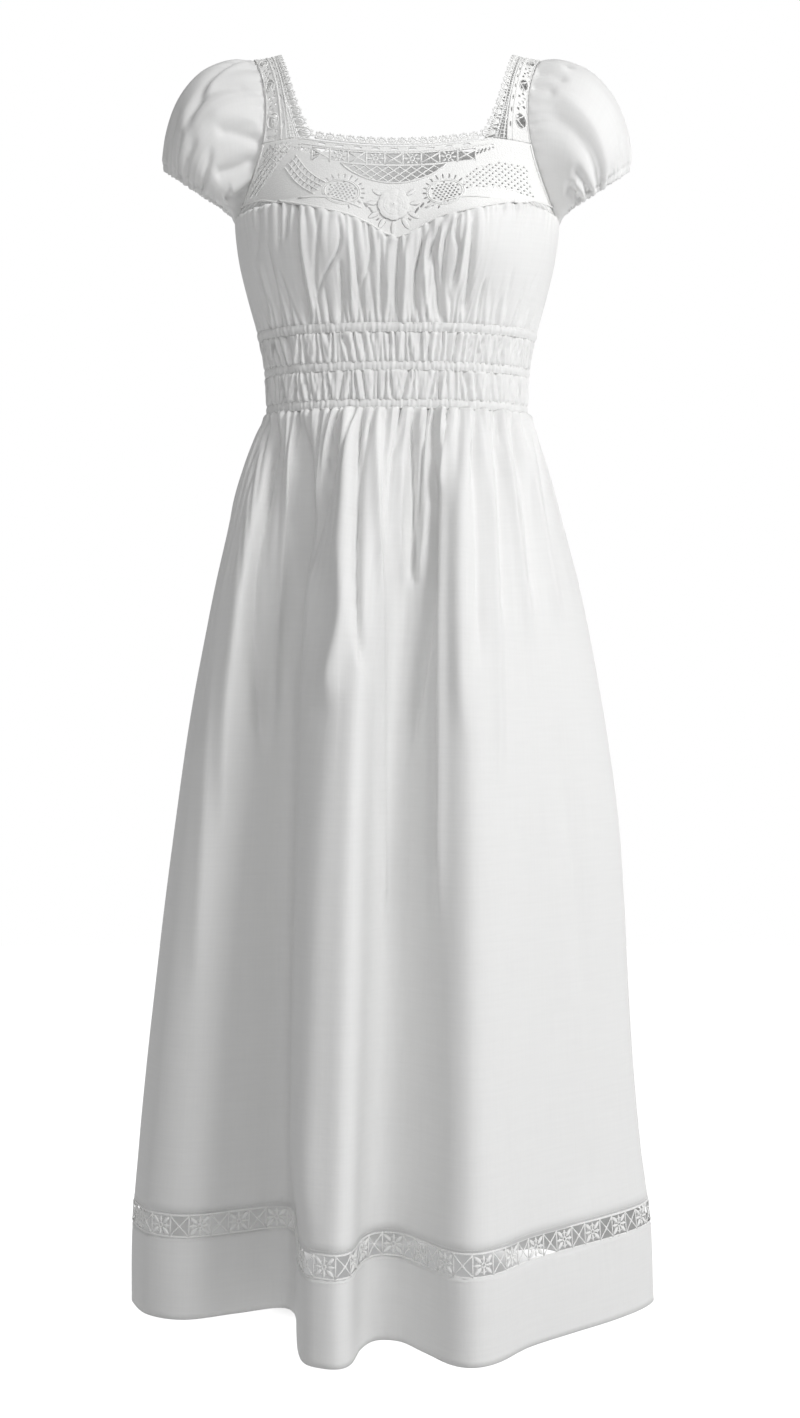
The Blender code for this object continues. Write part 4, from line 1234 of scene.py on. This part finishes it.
def onYoke(x, z):
    x, z = np.broadcast_arrays(np.asarray(x, float), np.asarray(z, float))
    edge = panelEdge(front, z)[0]
    return np.stack([x, bodyDepth(front, np.clip(x, -edge, edge), z), z], -1)


def yokeEdgePoint(across, level):
    # a point between the yoke's lower edge at level 0 and the neckline at 1
    rows = np.array(bodice["yokeEdge"])
    height = np.full(np.shape(across), form["underarm"])
    for _ in range(9):
        x = across * panelEdge(front, height)[0]
        low = np.interp(np.abs(across), rows[:, 0], rows[:, 1])
        height = low + level * (neckHeight(x) - yoke["gap"] - low)
    return np.stack([x, height], -1)


def inside(outline, x, z):
    # even-odd test of many points against one closed outline
    found = np.zeros(np.shape(x), bool)
    for (ax, az), (bx, bz) in zip(outline, np.roll(outline, -1, 0)):
        if az == bz:
            continue
        crosses = (az > z) != (bz > z)
        found ^= crosses & (x < (bx - ax) * (z - az) / (bz - az) + ax)
    return found


def groundSheet(name, outline, holes, place, pitch, wall):
    # close crochet inside an outline, with holes cut through it
    points, edges = [], []
    for loop in [outline, *holes]:
        start = len(points)
        points += [Vector((float(x) * 1000, float(z) * 1000)) for x, z in loop]
        edges += [(start + i, start + (i + 1) % len(loop)) for i in range(len(loop))]
    low, high = outline.min(0), outline.max(0)
    gridX, gridZ = np.meshgrid(np.arange(low[0], high[0], pitch), np.arange(low[1], high[1], pitch))
    gridX = gridX + (np.arange(gridX.shape[0]) % 2)[:, None] * pitch / 2
    keep = inside(outline, gridX, gridZ)
    for hole in holes:
        keep &= ~inside(hole, gridX, gridZ)
    points += [Vector((x * 1000, z * 1000)) for x, z in zip(gridX[keep], gridZ[keep])]
    made, _, faces, *_ = delaunay_2d_cdt(points, edges, [], 0, 1e-4)
    flat = np.array([(point.x, point.y) for point in made]) / 1000
    faces = np.array([face for face in faces if len(face) == 3])
    middle = flat[faces].mean(axis=1)
    keep = inside(outline, middle[:, 0], middle[:, 1])
    for hole in holes:
        keep &= ~inside(hole, middle[:, 0], middle[:, 1])
    faces = faces[keep]
    used, faces = np.unique(faces, return_inverse=True)
    flat, faces = flat[used], faces.reshape(-1, 3)
    a, b, c = (flat[faces[:, k]] for k in range(3))
    turned = (b[:, 0] - a[:, 0]) * (c[:, 1] - a[:, 1]) - (b[:, 1] - a[:, 1]) * (c[:, 0] - a[:, 0]) < 0
    faces[turned] = faces[turned][:, ::-1]
    mesh = bpy.data.meshes.new(name)
    mesh.from_pydata(place(flat[:, 0], flat[:, 1]).tolist(), [], faces.tolist())
    return clothPiece(name, mesh, wall)


def mirrored(x, side):
    return yoke["centre"] + side * (np.asarray(x) - yoke["centre"])


def turned(corners, x, z, turn):
    # corners about a middle, turned by an angle
    across, up = np.array(corners, float).T
    along = x + across * math.cos(turn) - up * math.sin(turn)
    return pairs(along, z + across * math.sin(turn) + up * math.cos(turn))


def slot(x, z, length, width, turn, corners=8):
    # a small oval hole
    angle = np.linspace(0, 2 * math.pi, corners, endpoint=False) + math.pi / corners
    return turned(pairs(length / 2 * np.cos(angle), width / 2 * np.sin(angle)), x, z, turn)


def diamond(x, z, size):
    return np.array([(-1, 0), (0, -1), (1, 0), (0, 1)]) * size + (x, z)


def onMedallion(side, over, up):
    # a point beside the middle of the medallion on this side, tilted with it
    tilt = yoke["medallionTilt"]
    x = yoke["centre"] - yoke["medallionAt"] + over * math.cos(tilt) - up * math.sin(tilt)
    return mirrored(x, -side), yoke["medallionHeight"] + over * math.sin(tilt) + up * math.cos(tilt)


def medallionRing(side, scale):
    angle = np.linspace(0, 2 * math.pi, 36, endpoint=False)
    over, up = scale * yoke["medallionAcross"] * np.cos(angle), scale * yoke["medallionUp"] * np.sin(angle)
    return pairs(*onMedallion(side, over, up))


def onFilet(step, row):
    # steps along the filet's rows, which sag a little, and the row from the middle one
    start, end = np.array(yoke["filetFrom"]), np.array(yoke["filetTo"])
    toward = (end - start) / np.linalg.norm(end - start)
    beside = np.array([toward[1], -toward[0]])
    sag = yoke["filetSag"] * np.sin(math.pi * np.clip(step, 0, 8) / 8)
    return start + toward * yoke["filetPitch"] * step + beside * (yoke["filetPitch"] * row + sag)


def strapHoles(wide):
    # in each repeat one round opening, a cluster of small ones, and narrow slots beside the edging
    length, middle = strap["length"], strap["laceMiddle"]
    pitch = length / strap["repeats"]
    holes = []
    for number in range(strap["repeats"]):
        u = (number + 0.5) * pitch
        holes.append(slot(u, middle, *strap["opening"], 0, 12))
        for over, up in strap["cluster"]:
            at = u + pitch / 2 + over
            if 0.003 < at < length - 0.003:
                holes.append(slot(at, middle + up, *strap["small"], 0, 6))
        for over in (-0.5, -0.16, 0.18):
            at = u + over * pitch
            if 0.005 < at < length - 0.005:
                holes.append(slot(at, wide - 0.0024, *strap["narrow"], 0))
    return holes


def strapThreads(work, run, wide):
    # two bars across each round opening, a ring round it, and corded lines
    pitch, middle, (across, up) = strap["length"] / strap["repeats"], strap["laceMiddle"], strap["opening"]
    low, high = middle - up / 2, middle + up / 2
    for number in range(strap["repeats"]):
        u = (number + 0.5) * pitch
        for lean, shift in ((-1, 0.0035), (1, -0.0035)):
            start, end = (u + shift - lean * 0.0050, low - 0.0006), (u + shift + lean * 0.0050, high + 0.0006)
            addThread(work, between(start, end), strap["bar"], 0.8, -0.0003)
        addThread(work, slot(u, middle, across + 0.001, up + 0.001, 0, 22), 0.0006, 0.8, 0.0002, closed=True)
    for v in (0.0012, high + 0.0022, wide - 0.0044):
        addThread(work, pairs(run, v), 0.0006 * beaded(len(run), 0.25), 0.7, 0.0002)


def buildStrap(side):
    word = sideWords[side]
    length, width = strap["length"], strap["width"]
    wide = width * strap["laceShare"]

    def strapFloor(u, v):
        # the lace's sides change places on the left, so that its face is outward on both
        return onStrap(side, u / length if side == right else 1 - u / length, v / width)

    run = np.linspace(0.0004, length - 0.0004, 160)
    outline = np.concatenate([pairs(run, 0.0005), pairs(run, wide)[::-1]])
    holes = strapHoles(wide)
    ground = groundSheet("strap_insertion_" + word, outline, holes, strapFloor, yoke["pitch"], yoke["wall"])
    sewOn(ground, crochet, "crochet", "strap_" + word)
    work = startWork(strapFloor)
    strapThreads(work, run, wide)
    detail = threadPiece("strap_threads_" + word, work, crochet, "crochet")

    work = startWork(strapFloor)
    scallopEdging(work, length, wide + 0.0006, width - wide - 0.0012, strap["scallop"], True)
    piece = threadPiece("strap_scallops_" + word, work, crochet, "crochet", "strap_edging_" + word)


def netOutline():
    # the net's upper edge follows the squares, its lower edge is a bow
    x = np.linspace(-yoke["netHalf"], yoke["netHalf"], 25)
    high = neckHeight(x + yoke["centre"]) - yoke["edgingDrop"] - yoke["squareHigh"] - 0.0016
    low = high - yoke["netDeep"] * np.clip(1 - (x / yoke["netHalf"]) ** 2, 0, 1) ** 0.8
    x = x + yoke["centre"]
    return np.concatenate([pairs(x, high), pairs(x, low)[1:-1][::-1]])


def bandOutline():
    half = yoke["squares"] * yoke["squarePitch"] / 2
    x = np.linspace(-half, half, 40) + yoke["centre"]
    high = neckHeight(x) - yoke["edgingDrop"]
    return np.concatenate([pairs(x, high), pairs(x, high - yoke["squareHigh"])[::-1]])


def netHoles(net):
    # a net's diamonds, every other row shifted by half a step, kept clear of the armhole
    holes = []
    outline = np.array(net["outline"])
    for row in range(net["rows"]):
        for column in range(net["columns"]):
            x = net["start"][0] + net["pitch"][0] * (column + 0.5 * (row % 2))
            z = net["start"][1] - net["pitch"][1] * row
            edge = float(panelEdge(front, np.array(z))[0])
            if net is sideNet:
                kept = inside(outline, np.array(x), np.array(z)) and x < edge - 0.0040
            else:
                kept = 0.101 + 0.74 * max(0, -0.1115 - z) < -x < edge - 0.0042
            if kept:
                holes.append(diamond(x, z, net["hole"]))
    return holes


def medallionHoles(side):
    holes = []
    stepOver, stepUp = yoke["meshPitch"]
    across, high = yoke["medallionAcross"], yoke["medallionUp"]
    for row in range(-5, 6):  # the medallion's fine mesh
        for column in range(-5, 6):
            over, up = (column + 0.5 * (row % 2)) * stepOver, row * stepUp
            if (over / (across - 0.001)) ** 2 + (up / (high - 0.0008)) ** 2 <= 0.98:
                holes.append(slot(*onMedallion(side, over, up), *yoke["meshHole"], 0, 4))
    half = yoke["squares"] * yoke["squarePitch"] / 2
    for number in range(5):  # narrowing slots past the last square
        x = mirrored(yoke["centre"] + half + 0.0022 + 0.0036 * number, side)
        z = neckHeight(x) - yoke["edgingDrop"] - 0.0045 + 0.0006 * number
        holes.append(slot(x, z, 0.0078 - 0.0012 * number, 0.0019, math.pi / 2 - side * 0.5))
    for step in range(13):  # slots that ring the medallion above and on its inner side
        angle = math.radians(-62 + 17 * step)
        over, up = 1.36 * across * math.cos(angle), 1.50 * high * math.sin(angle)
        turn = math.atan2(up * 1.3, over) + yoke["medallionTilt"]
        turn = turn if side == left else math.pi - turn
        holes.append(slot(*onMedallion(side, over, up), 0.0052 if step > 6 else 0.0040, 0.0015, turn))
    # leaning slots beside the rosette, then small ones between the leaves under it
    for x, z, long in ((0.0215, -0.1815, 0.0080), (0.0265, -0.1765, 0.0062)):
        holes.append(slot(mirrored(yoke["centre"] + x, side), z, long, 0.0021, side * 0.95))
    for x, z, turn in ((0.0085, -0.1935, -0.9), (0.0150, -0.1900, -0.6)):
        holes.append(slot(mirrored(yoke["centre"] + x, side), z, 0.0038, 0.0014, side * turn))
    return holes


def filetHoles():
    # three rows of open squares, along the line from one end of the filet to the other
    (startX, startZ), (endX, endZ) = yoke["filetFrom"], yoke["filetTo"]
    turn, half = math.atan2(endZ - startZ, endX - startX), yoke["filetHole"] / 2
    corners = [(-half, -half), (half, -half), (half, half), (-half, half)]
    return [
        turned(corners, *onFilet(step, row), turn)
        for row, first in ((-1, 0), (0, 0), (1, 1))
        for step in range(first, 8)
    ]


def yokeHoles():
    holes = [bandOutline(), netOutline()]
    rise = form["neckCorner"][front] - form["neckCentre"][front]
    for number in range(-4, 5):  # the row of long slots over the squares, along the neckline's slope
        x = number * yoke["squarePitch"] + yoke["centre"]
        slope = 2 * rise * x / form["neckHalf"] ** 2
        holes.append(slot(x, neckHeight(x) - yoke["ribDrop"], 0.0085, 0.0020, slope))
    holes += netHoles(sideNet) + medallionHoles(left)
    return holes + filetHoles() + netHoles(armholeNet) + medallionHoles(right)


def netThreads(work, outline, pitch, slope, radius, start, warp=None):
    # two crossing families of threads through a start point, kept inside an outline; warp bends them
    outline, middle = np.array(outline), np.array(start)
    low, high = outline.min(0), outline.max(0)
    x = np.arange(low[0] - 0.001, high[0] + 0.001, 0.0006)
    reach = int((high[0] - low[0]) / pitch) + 3
    for lean in (-slope, slope):
        for number in range(-reach, reach + 1):
            z = middle[1] + lean * (x - middle[0] - number * pitch)
            if warp:
                z = z + warp(x)
            within = inside(outline, x, z)
            if within.sum() < 3:
                continue
            starts = np.flatnonzero(within & ~np.roll(within, 1))
            ends = np.flatnonzero(within & ~np.roll(within, -1))
            for first, last in zip(starts, ends):
                if last - first < 2:
                    continue
                first, last = max(0, first - 1), min(len(x) - 1, last + 1)
                pick = np.unique(np.linspace(first, last, max(3, (last - first) // 3 + 1)).astype(int))
                addThread(work, pairs(x[pick], z[pick]), radius, 0.75, -0.0002, sides=5)


def squareThreads(work):
    # posts between the squares, which hold crossed bars and daisies in turn
    for number in range(yoke["squares"]):
        middle = yoke["centre"] + (number - (yoke["squares"] - 1) / 2) * yoke["squarePitch"]
        high = neckHeight(middle) - yoke["edgingDrop"]
        low, half = high - yoke["squareHigh"], yoke["squarePitch"] / 2
        west, east = middle - half, middle + half
        for u in (west, east):
            addThread(work, between((u, low), (u, high)), yoke["squarePost"])
        if number % 2 == 0:
            for start, end in (((west, low), (east, high)), ((west, high), (east, low))):
                addThread(work, between(start, end), yoke["squareBar"])
            continue
        u, v = middle, (low + high) / 2
        addRing(work, (u, v), 0.0022, 0.0020, yoke["squareBar"], 10, lift=-0.0002)
        for step in range(8):
            over, up = math.cos(math.pi / 4 * step), math.sin(math.pi / 4 * step)
            reach = min(0.0080 / max(abs(over), 1e-6), 0.0053 / max(abs(up), 1e-6))
            start, end = (u + 0.003 * over, v + 0.003 * up), (u + reach * over, v + reach * up)
            addLeaf(work, start, end, 0.0026, 0.5, -0.0002, 5, 5)


def yokeThreads():
    work = startWork(onYoke)
    squareThreads(work)
    centre = yoke["centre"]

    def withNeck(x):
        return neckHeight(x) - neckHeight(centre)

    net = netOutline()
    netThreads(work, net, yoke["netPitch"], yoke["netSlope"], yoke["netThread"], net.mean(0), withNeck)
    for small in (sideNet, armholeNet):
        stepX, stepZ = small["pitch"]
        start = (small["start"][0] + stepX / 2, small["start"][1])
        netThreads(work, small["outline"], abs(stepX), abs(2 * stepZ / stepX), small["thread"], start)
    steps = np.arange(-0.6, 8.0, 0.2)[:, None]
    for row in (-1.5, -0.5, 0.5, 1.5):  # raised cords between the filet's rows
        addThread(work, onFilet(steps, row), 0.00065, 0.9, 0.0003)
    for side in (left, right):
        addThread(work, medallionRing(side, 1.08), 0.0009, 0.6, 0.0002, closed=True)
        addThread(work, medallionRing(side, 1.20), 0.0006, 0.8, 0.0002, closed=True)
    # cords: under the neckline, round the net, and rolled along the lower edge and the sides
    x = np.linspace(-form["neckHalf"] - 0.004, form["neckHalf"] + 0.004, 210)
    for drop, thick in ((0.0064, 0.0008), (0.0012, 0.0007)):
        addThread(work, pairs(x, neckHeight(x) - drop), thick * beaded(len(x), 0.28), 0.6, 0.0001)
    addThread(work, net, 0.0009, 0.7, 0.0003, closed=True)
    edge = yokeEdgePoint(np.linspace(-0.995, 0.995, 200), np.zeros(200)) + (0, 0.0009)
    addThread(work, edge, 0.0011 * (1 + 0.12 * np.cos(np.arange(200) * 1.7)), 0.8, 0.0005)
    t = np.linspace(0, 1, 14)
    for side in (left, right):
        rim = yokeEdgePoint(np.full(40, 0.985 * side), np.linspace(0, 0.97, 40))
        addThread(work, rim, 0.0009, 0.8, 0.0004)
        for angle, length, width in yoke["leaves"]:
            if angle == -90 and side == right:
                continue
            over, up = side * math.cos(math.radians(angle)), math.sin(math.radians(angle))
            start, end = (
                (centre + reach * over, yoke["rosetteHeight"] + reach * up)
                for reach in (yoke["leafStart"], yoke["leafStart"] + length)
            )
            addLeaf(work, start, end, width, 0.15, 0.0002, 6, 8)
        # a stem beside the medallion
        high = -0.1790 + 0.0125 * t + 0.004 * np.sin(math.pi * t)
        addThread(work, pairs(mirrored(centre + 0.030 + 0.060 * t, side), high), 0.0008, 0.7, 0.0004)
    return threadPiece("yoke_threads", work, crochet, "crochet")


def buildYoke():
    across = np.linspace(-1, 1, 150)
    up = np.linspace(0, 1, 34)[1:-1]
    outline = np.concatenate([
        yokeEdgePoint(across, np.zeros(len(across))),
        yokeEdgePoint(np.ones(len(up)), up),
        yokeEdgePoint(across, np.ones(len(across)))[::-1],
        yokeEdgePoint(-np.ones(len(up)), up)[::-1],
    ])
    ground = groundSheet("yoke_lace", outline, yokeHoles(), onYoke, yoke["pitch"], yoke["wall"])
    sewOn(ground, crochet, "crochet", "yoke_front")
    detail = yokeThreads()


def buildNeckEdging():
    half = form["neckHalf"] - strap["rounding"] + 0.004

    def neckFloor(u, v):
        x = u - half
        return onYoke(x, neckHeight(x) + v)

    work = startWork(neckFloor)
    scallopEdging(work, 2 * half, 0.0004, yoke["edgingDepth"], yoke["edgingPitch"], False)
    piece = threadPiece("neck_scallops", work, crochet, "crochet", "neck_edging")


backYoke = {"rows": 16, "columns": 120, "wall": 0.0012, "weave": (0.30, 0.08), "hem": 0.0030}


def buildBackYoke():
    shares, levels = np.linspace(0.001, 0.999, backYoke["columns"]), np.linspace(0, 1, backYoke["rows"])
    share, level = np.meshgrid(shares, levels)
    height = np.full(share.shape, -0.11)
    for _ in range(8):
        x = onBody(back, share, height)[..., 0]
        high = neckHeight(x, back) + backYoke["hem"]  # the turned hem along the neckline
        height = bodice["backSeam"] + level * (high - bodice["backSeam"])
    across, along = shares * backYoke["weave"][0], levels * backYoke["weave"][1]
    piece = clothGrid("yoke_back_cloth", onBody(back, share, height), across, along, backYoke["wall"])
    sewOn(piece, cotton, "cotton", "yoke_back")


for side in (left, right):
    buildStrap(side)
print("straps ready")
buildYoke()
buildNeckEdging()
buildBackYoke()
print("yoke ready")

# Rosette: rounds of crocheted petals that lie on the yoke
rosette = {"rings": 26, "columns": 96, "petals": 8, "innerPetals": 6, "wall": 0.0009}


def buildRosette():
    turn = np.linspace(0, 2 * math.pi, rosette["columns"], endpoint=False)
    reach = np.linspace(1.0, 0.03, rosette["rings"])
    angle, share = np.meshgrid(turn, reach)
    edge = 1 + 0.06 * np.abs(np.cos(rosette["petals"] / 2 * angle)) ** 0.5 - 0.03
    radius = yoke["rosetteRadius"] * share * (1 + (edge - 1) * share)
    outer = np.abs(np.sin(rosette["petals"] / 2 * angle + math.pi / 2)) ** 0.5
    inner = np.abs(np.sin(rosette["innerPetals"] / 2 * angle)) ** 0.5
    height = 0.0004 * outer * np.exp(-(((share - 0.80) / 0.15) ** 2))
    height += 0.0004 * inner * np.exp(-(((share - 0.47) / 0.12) ** 2))
    height += 0.0006 * np.exp(-((share / 0.17) ** 2)) + 0.0004 * np.exp(-(((share - 0.62) / 0.03) ** 2))
    height += 0.0002 + 0.0009 * (1 - share)
    x = yoke["centre"] + radius * np.cos(angle)
    z = yoke["rosetteHeight"] + radius * np.sin(angle)
    points = onYoke(x, z)
    points[..., 1] -= 0.0012 + height
    across = np.linspace(0, 0.09, rosette["columns"] + 1)
    wall = rosette["wall"]
    piece = clothGrid("rosette_crochet", points, across, reach * yoke["rosetteRadius"], wall, closed=True)
    sewOn(piece, crochet, "crochet", "rosette")


buildRosette()
print("rosette ready")

# Sewing: stitches on the casings, and above and below the hem lace
sewing = {"thread": 0.00026, "waistPitch": 0.0026, "waistLength": 0.36, "hemPitch": 0.0030, "end": 0.004}


def buildStitches():
    for face in (front, back):
        word, thread = faceWords[face], sewing["thread"]
        work = startWork(None)
        run = np.linspace(sewing["end"], sewing["waistLength"] - sewing["end"], 90)
        for middle in form["casings"]:
            work["place"] = lambda u, v: onCasing(face, middle, u / sewing["waistLength"], v)
            for up in (0.16, 0.84):
                addStitches(work, run, np.full(90, up), sewing["waistPitch"], thread, 0.0007)
        threadPiece("waist_stitches_" + word, work, sewingThread, "cotton")
        work = startWork(lambda u, v: onSkirt(face, u / hemArc[face], v))
        run = np.linspace(sewing["end"], hemArc[face] - sewing["end"], 300)
        for height in (skirt["laceLow"] - 0.0022, skirt["laceHigh"] + 0.0022):
            addStitches(work, run, np.full(300, height), sewing["hemPitch"], thread, 0.0006)
        threadPiece("hem_stitches_" + word, work, sewingThread, "cotton")


buildStitches()
print("sewing ready")

# Studio: a pale floor, a soft lamp from the right, and the camera of the photograph
studio = {
    "cameraAt": (0.003, -2.0, -0.649),
    "lens": 50.8,
    "floor": -1.42,
    "reach": 2.8,
    "behind": 4.5,
    # the floor's painted glow, and the depth behind the dress where it starts
    "glow": 0.85,
    "glowFrom": (0.02, 0.18),
    # where the painted shadow oval on the floor lies, and how it is scaled
    "shadeAt": 0.72,
    "shadeSize": (3.8, 3.7, 0.0),
    "lamps": (
        # name, azimuth to the right of the camera, elevation, distance, size, watts
        ("key", 42, 32, 3.0, 1.1, 42.5),
        ("side", 84, 14, 3.0, 1.2, 15.0),
        ("front", -6, 34, 3.2, 1.6, 17.0),
    ),
    "aim": (0.0, 0.0, -0.60),
    "ambient": 0.24,
}


def aim(thing, at, target):
    thing.location = at
    thing.rotation_euler = (Vector(target) - Vector(at)).to_track_quat("-Z", "Y").to_euler()


def areaLamp(name, at, target, size, power):
    lamp = bpy.data.lights.new(name, "AREA")
    lamp.shape = "DISK"
    lamp.size = size
    lamp.energy = power
    holder = bpy.data.objects.new(name, lamp)
    bpy.context.scene.collection.objects.link(holder)
    aim(holder, at, target)


def floorPaint():
    # it glows softly behind the dress, a painted glow for a white ground; in an oval hidden behind the dress,
    # where the hem lace shows the floor, the glow is taken away as a painted shadow
    paint, add, shader, links = newMaterial("floor_paint")
    place = add("ShaderNodeTexCoord").outputs["Object"]
    depth = add("ShaderNodeSeparateXYZ", {"Vector": place}).outputs["Y"]
    past = turnRange(add, depth, *studio["glowFrom"], interpolation_type="SMOOTHSTEP")
    # a painted shadow: in an oval hidden behind the dress the glow drops almost to nothing
    spot = add("ShaderNodeVectorMath", {0: place, 1: (0.0, -studio["shadeAt"], 0.0)}, operation="ADD")
    oval = add("ShaderNodeVectorMath", {0: spot.outputs[0], 1: studio["shadeSize"]}, operation="MULTIPLY")
    away = add("ShaderNodeVectorMath", {0: oval.outputs[0]}, operation="LENGTH").outputs["Value"]
    clear = turnRange(add, away, 0.50, 1.0, 0.05, interpolation_type="SMOOTHSTEP")
    glow = calculate(add, "MULTIPLY", past, clear)
    links.new(calculate(add, "MULTIPLY", glow, studio["glow"]), shader.inputs["Emission Strength"])
    shader.inputs["Emission Color"].default_value = (1, 1, 1, 1)
    shader.inputs["Base Color"].default_value = (0.80, 0.80, 0.80, 1)
    shader.inputs["Roughness"].default_value = 0.7
    return paint


def buildStudio():
    scene = bpy.context.scene
    scene.view_settings.view_transform = "Standard"
    camera = bpy.data.objects.new("camera", bpy.data.cameras.new("camera"))
    scene.collection.objects.link(camera)
    camera.location = studio["cameraAt"]
    camera.rotation_euler = (math.pi / 2, 0, 0)
    camera.data.lens = studio["lens"]
    camera.data.sensor_width = 36
    scene.camera = camera
    for name, azimuth, elevation, distance, size, power in studio["lamps"]:
        turn, rise = math.radians(azimuth), math.radians(elevation)
        away = Vector((math.sin(turn) * math.cos(rise), -math.cos(turn) * math.cos(rise), math.sin(rise)))
        areaLamp(name, Vector(studio["aim"]) + distance * away, studio["aim"], size, power)

    world = bpy.data.worlds.new("studio")
    world.use_nodes = True
    scene.world = world
    nodes, links = world.node_tree.nodes, world.node_tree.links
    seen, given = nodes["Background"], nodes.new("ShaderNodeBackground")
    seen.inputs["Color"].default_value = (1, 1, 1, 1)
    seen.inputs["Strength"].default_value = 1.0
    given.inputs["Color"].default_value = (1, 1, 1, 1)
    given.inputs["Strength"].default_value = studio["ambient"]
    path, mix = nodes.new("ShaderNodeLightPath"), nodes.new("ShaderNodeMixShader")
    links.new(path.outputs["Is Camera Ray"], mix.inputs["Fac"])
    links.new(given.outputs[0], mix.inputs[1])
    links.new(seen.outputs[0], mix.inputs[2])
    links.new(mix.outputs[0], nodes["World Output"].inputs["Surface"])

    # a floor with a painted glow behind the dress and a painted shadow oval in it, and plain white beyond it
    reach, behind, low = studio["reach"], studio["behind"], studio["floor"]
    corners = [(-reach, -reach, low), (reach, -reach, low), (reach, behind, low), (-reach, behind, low)]
    mesh = bpy.data.meshes.new("floor")
    mesh.from_pydata(corners, [], [(0, 1, 2, 3)])
    mesh.materials.append(floorPaint())
    floor = bpy.data.objects.new("floor", mesh)
    scene.collection.objects.link(floor)


buildStudio()
print("studio ready")
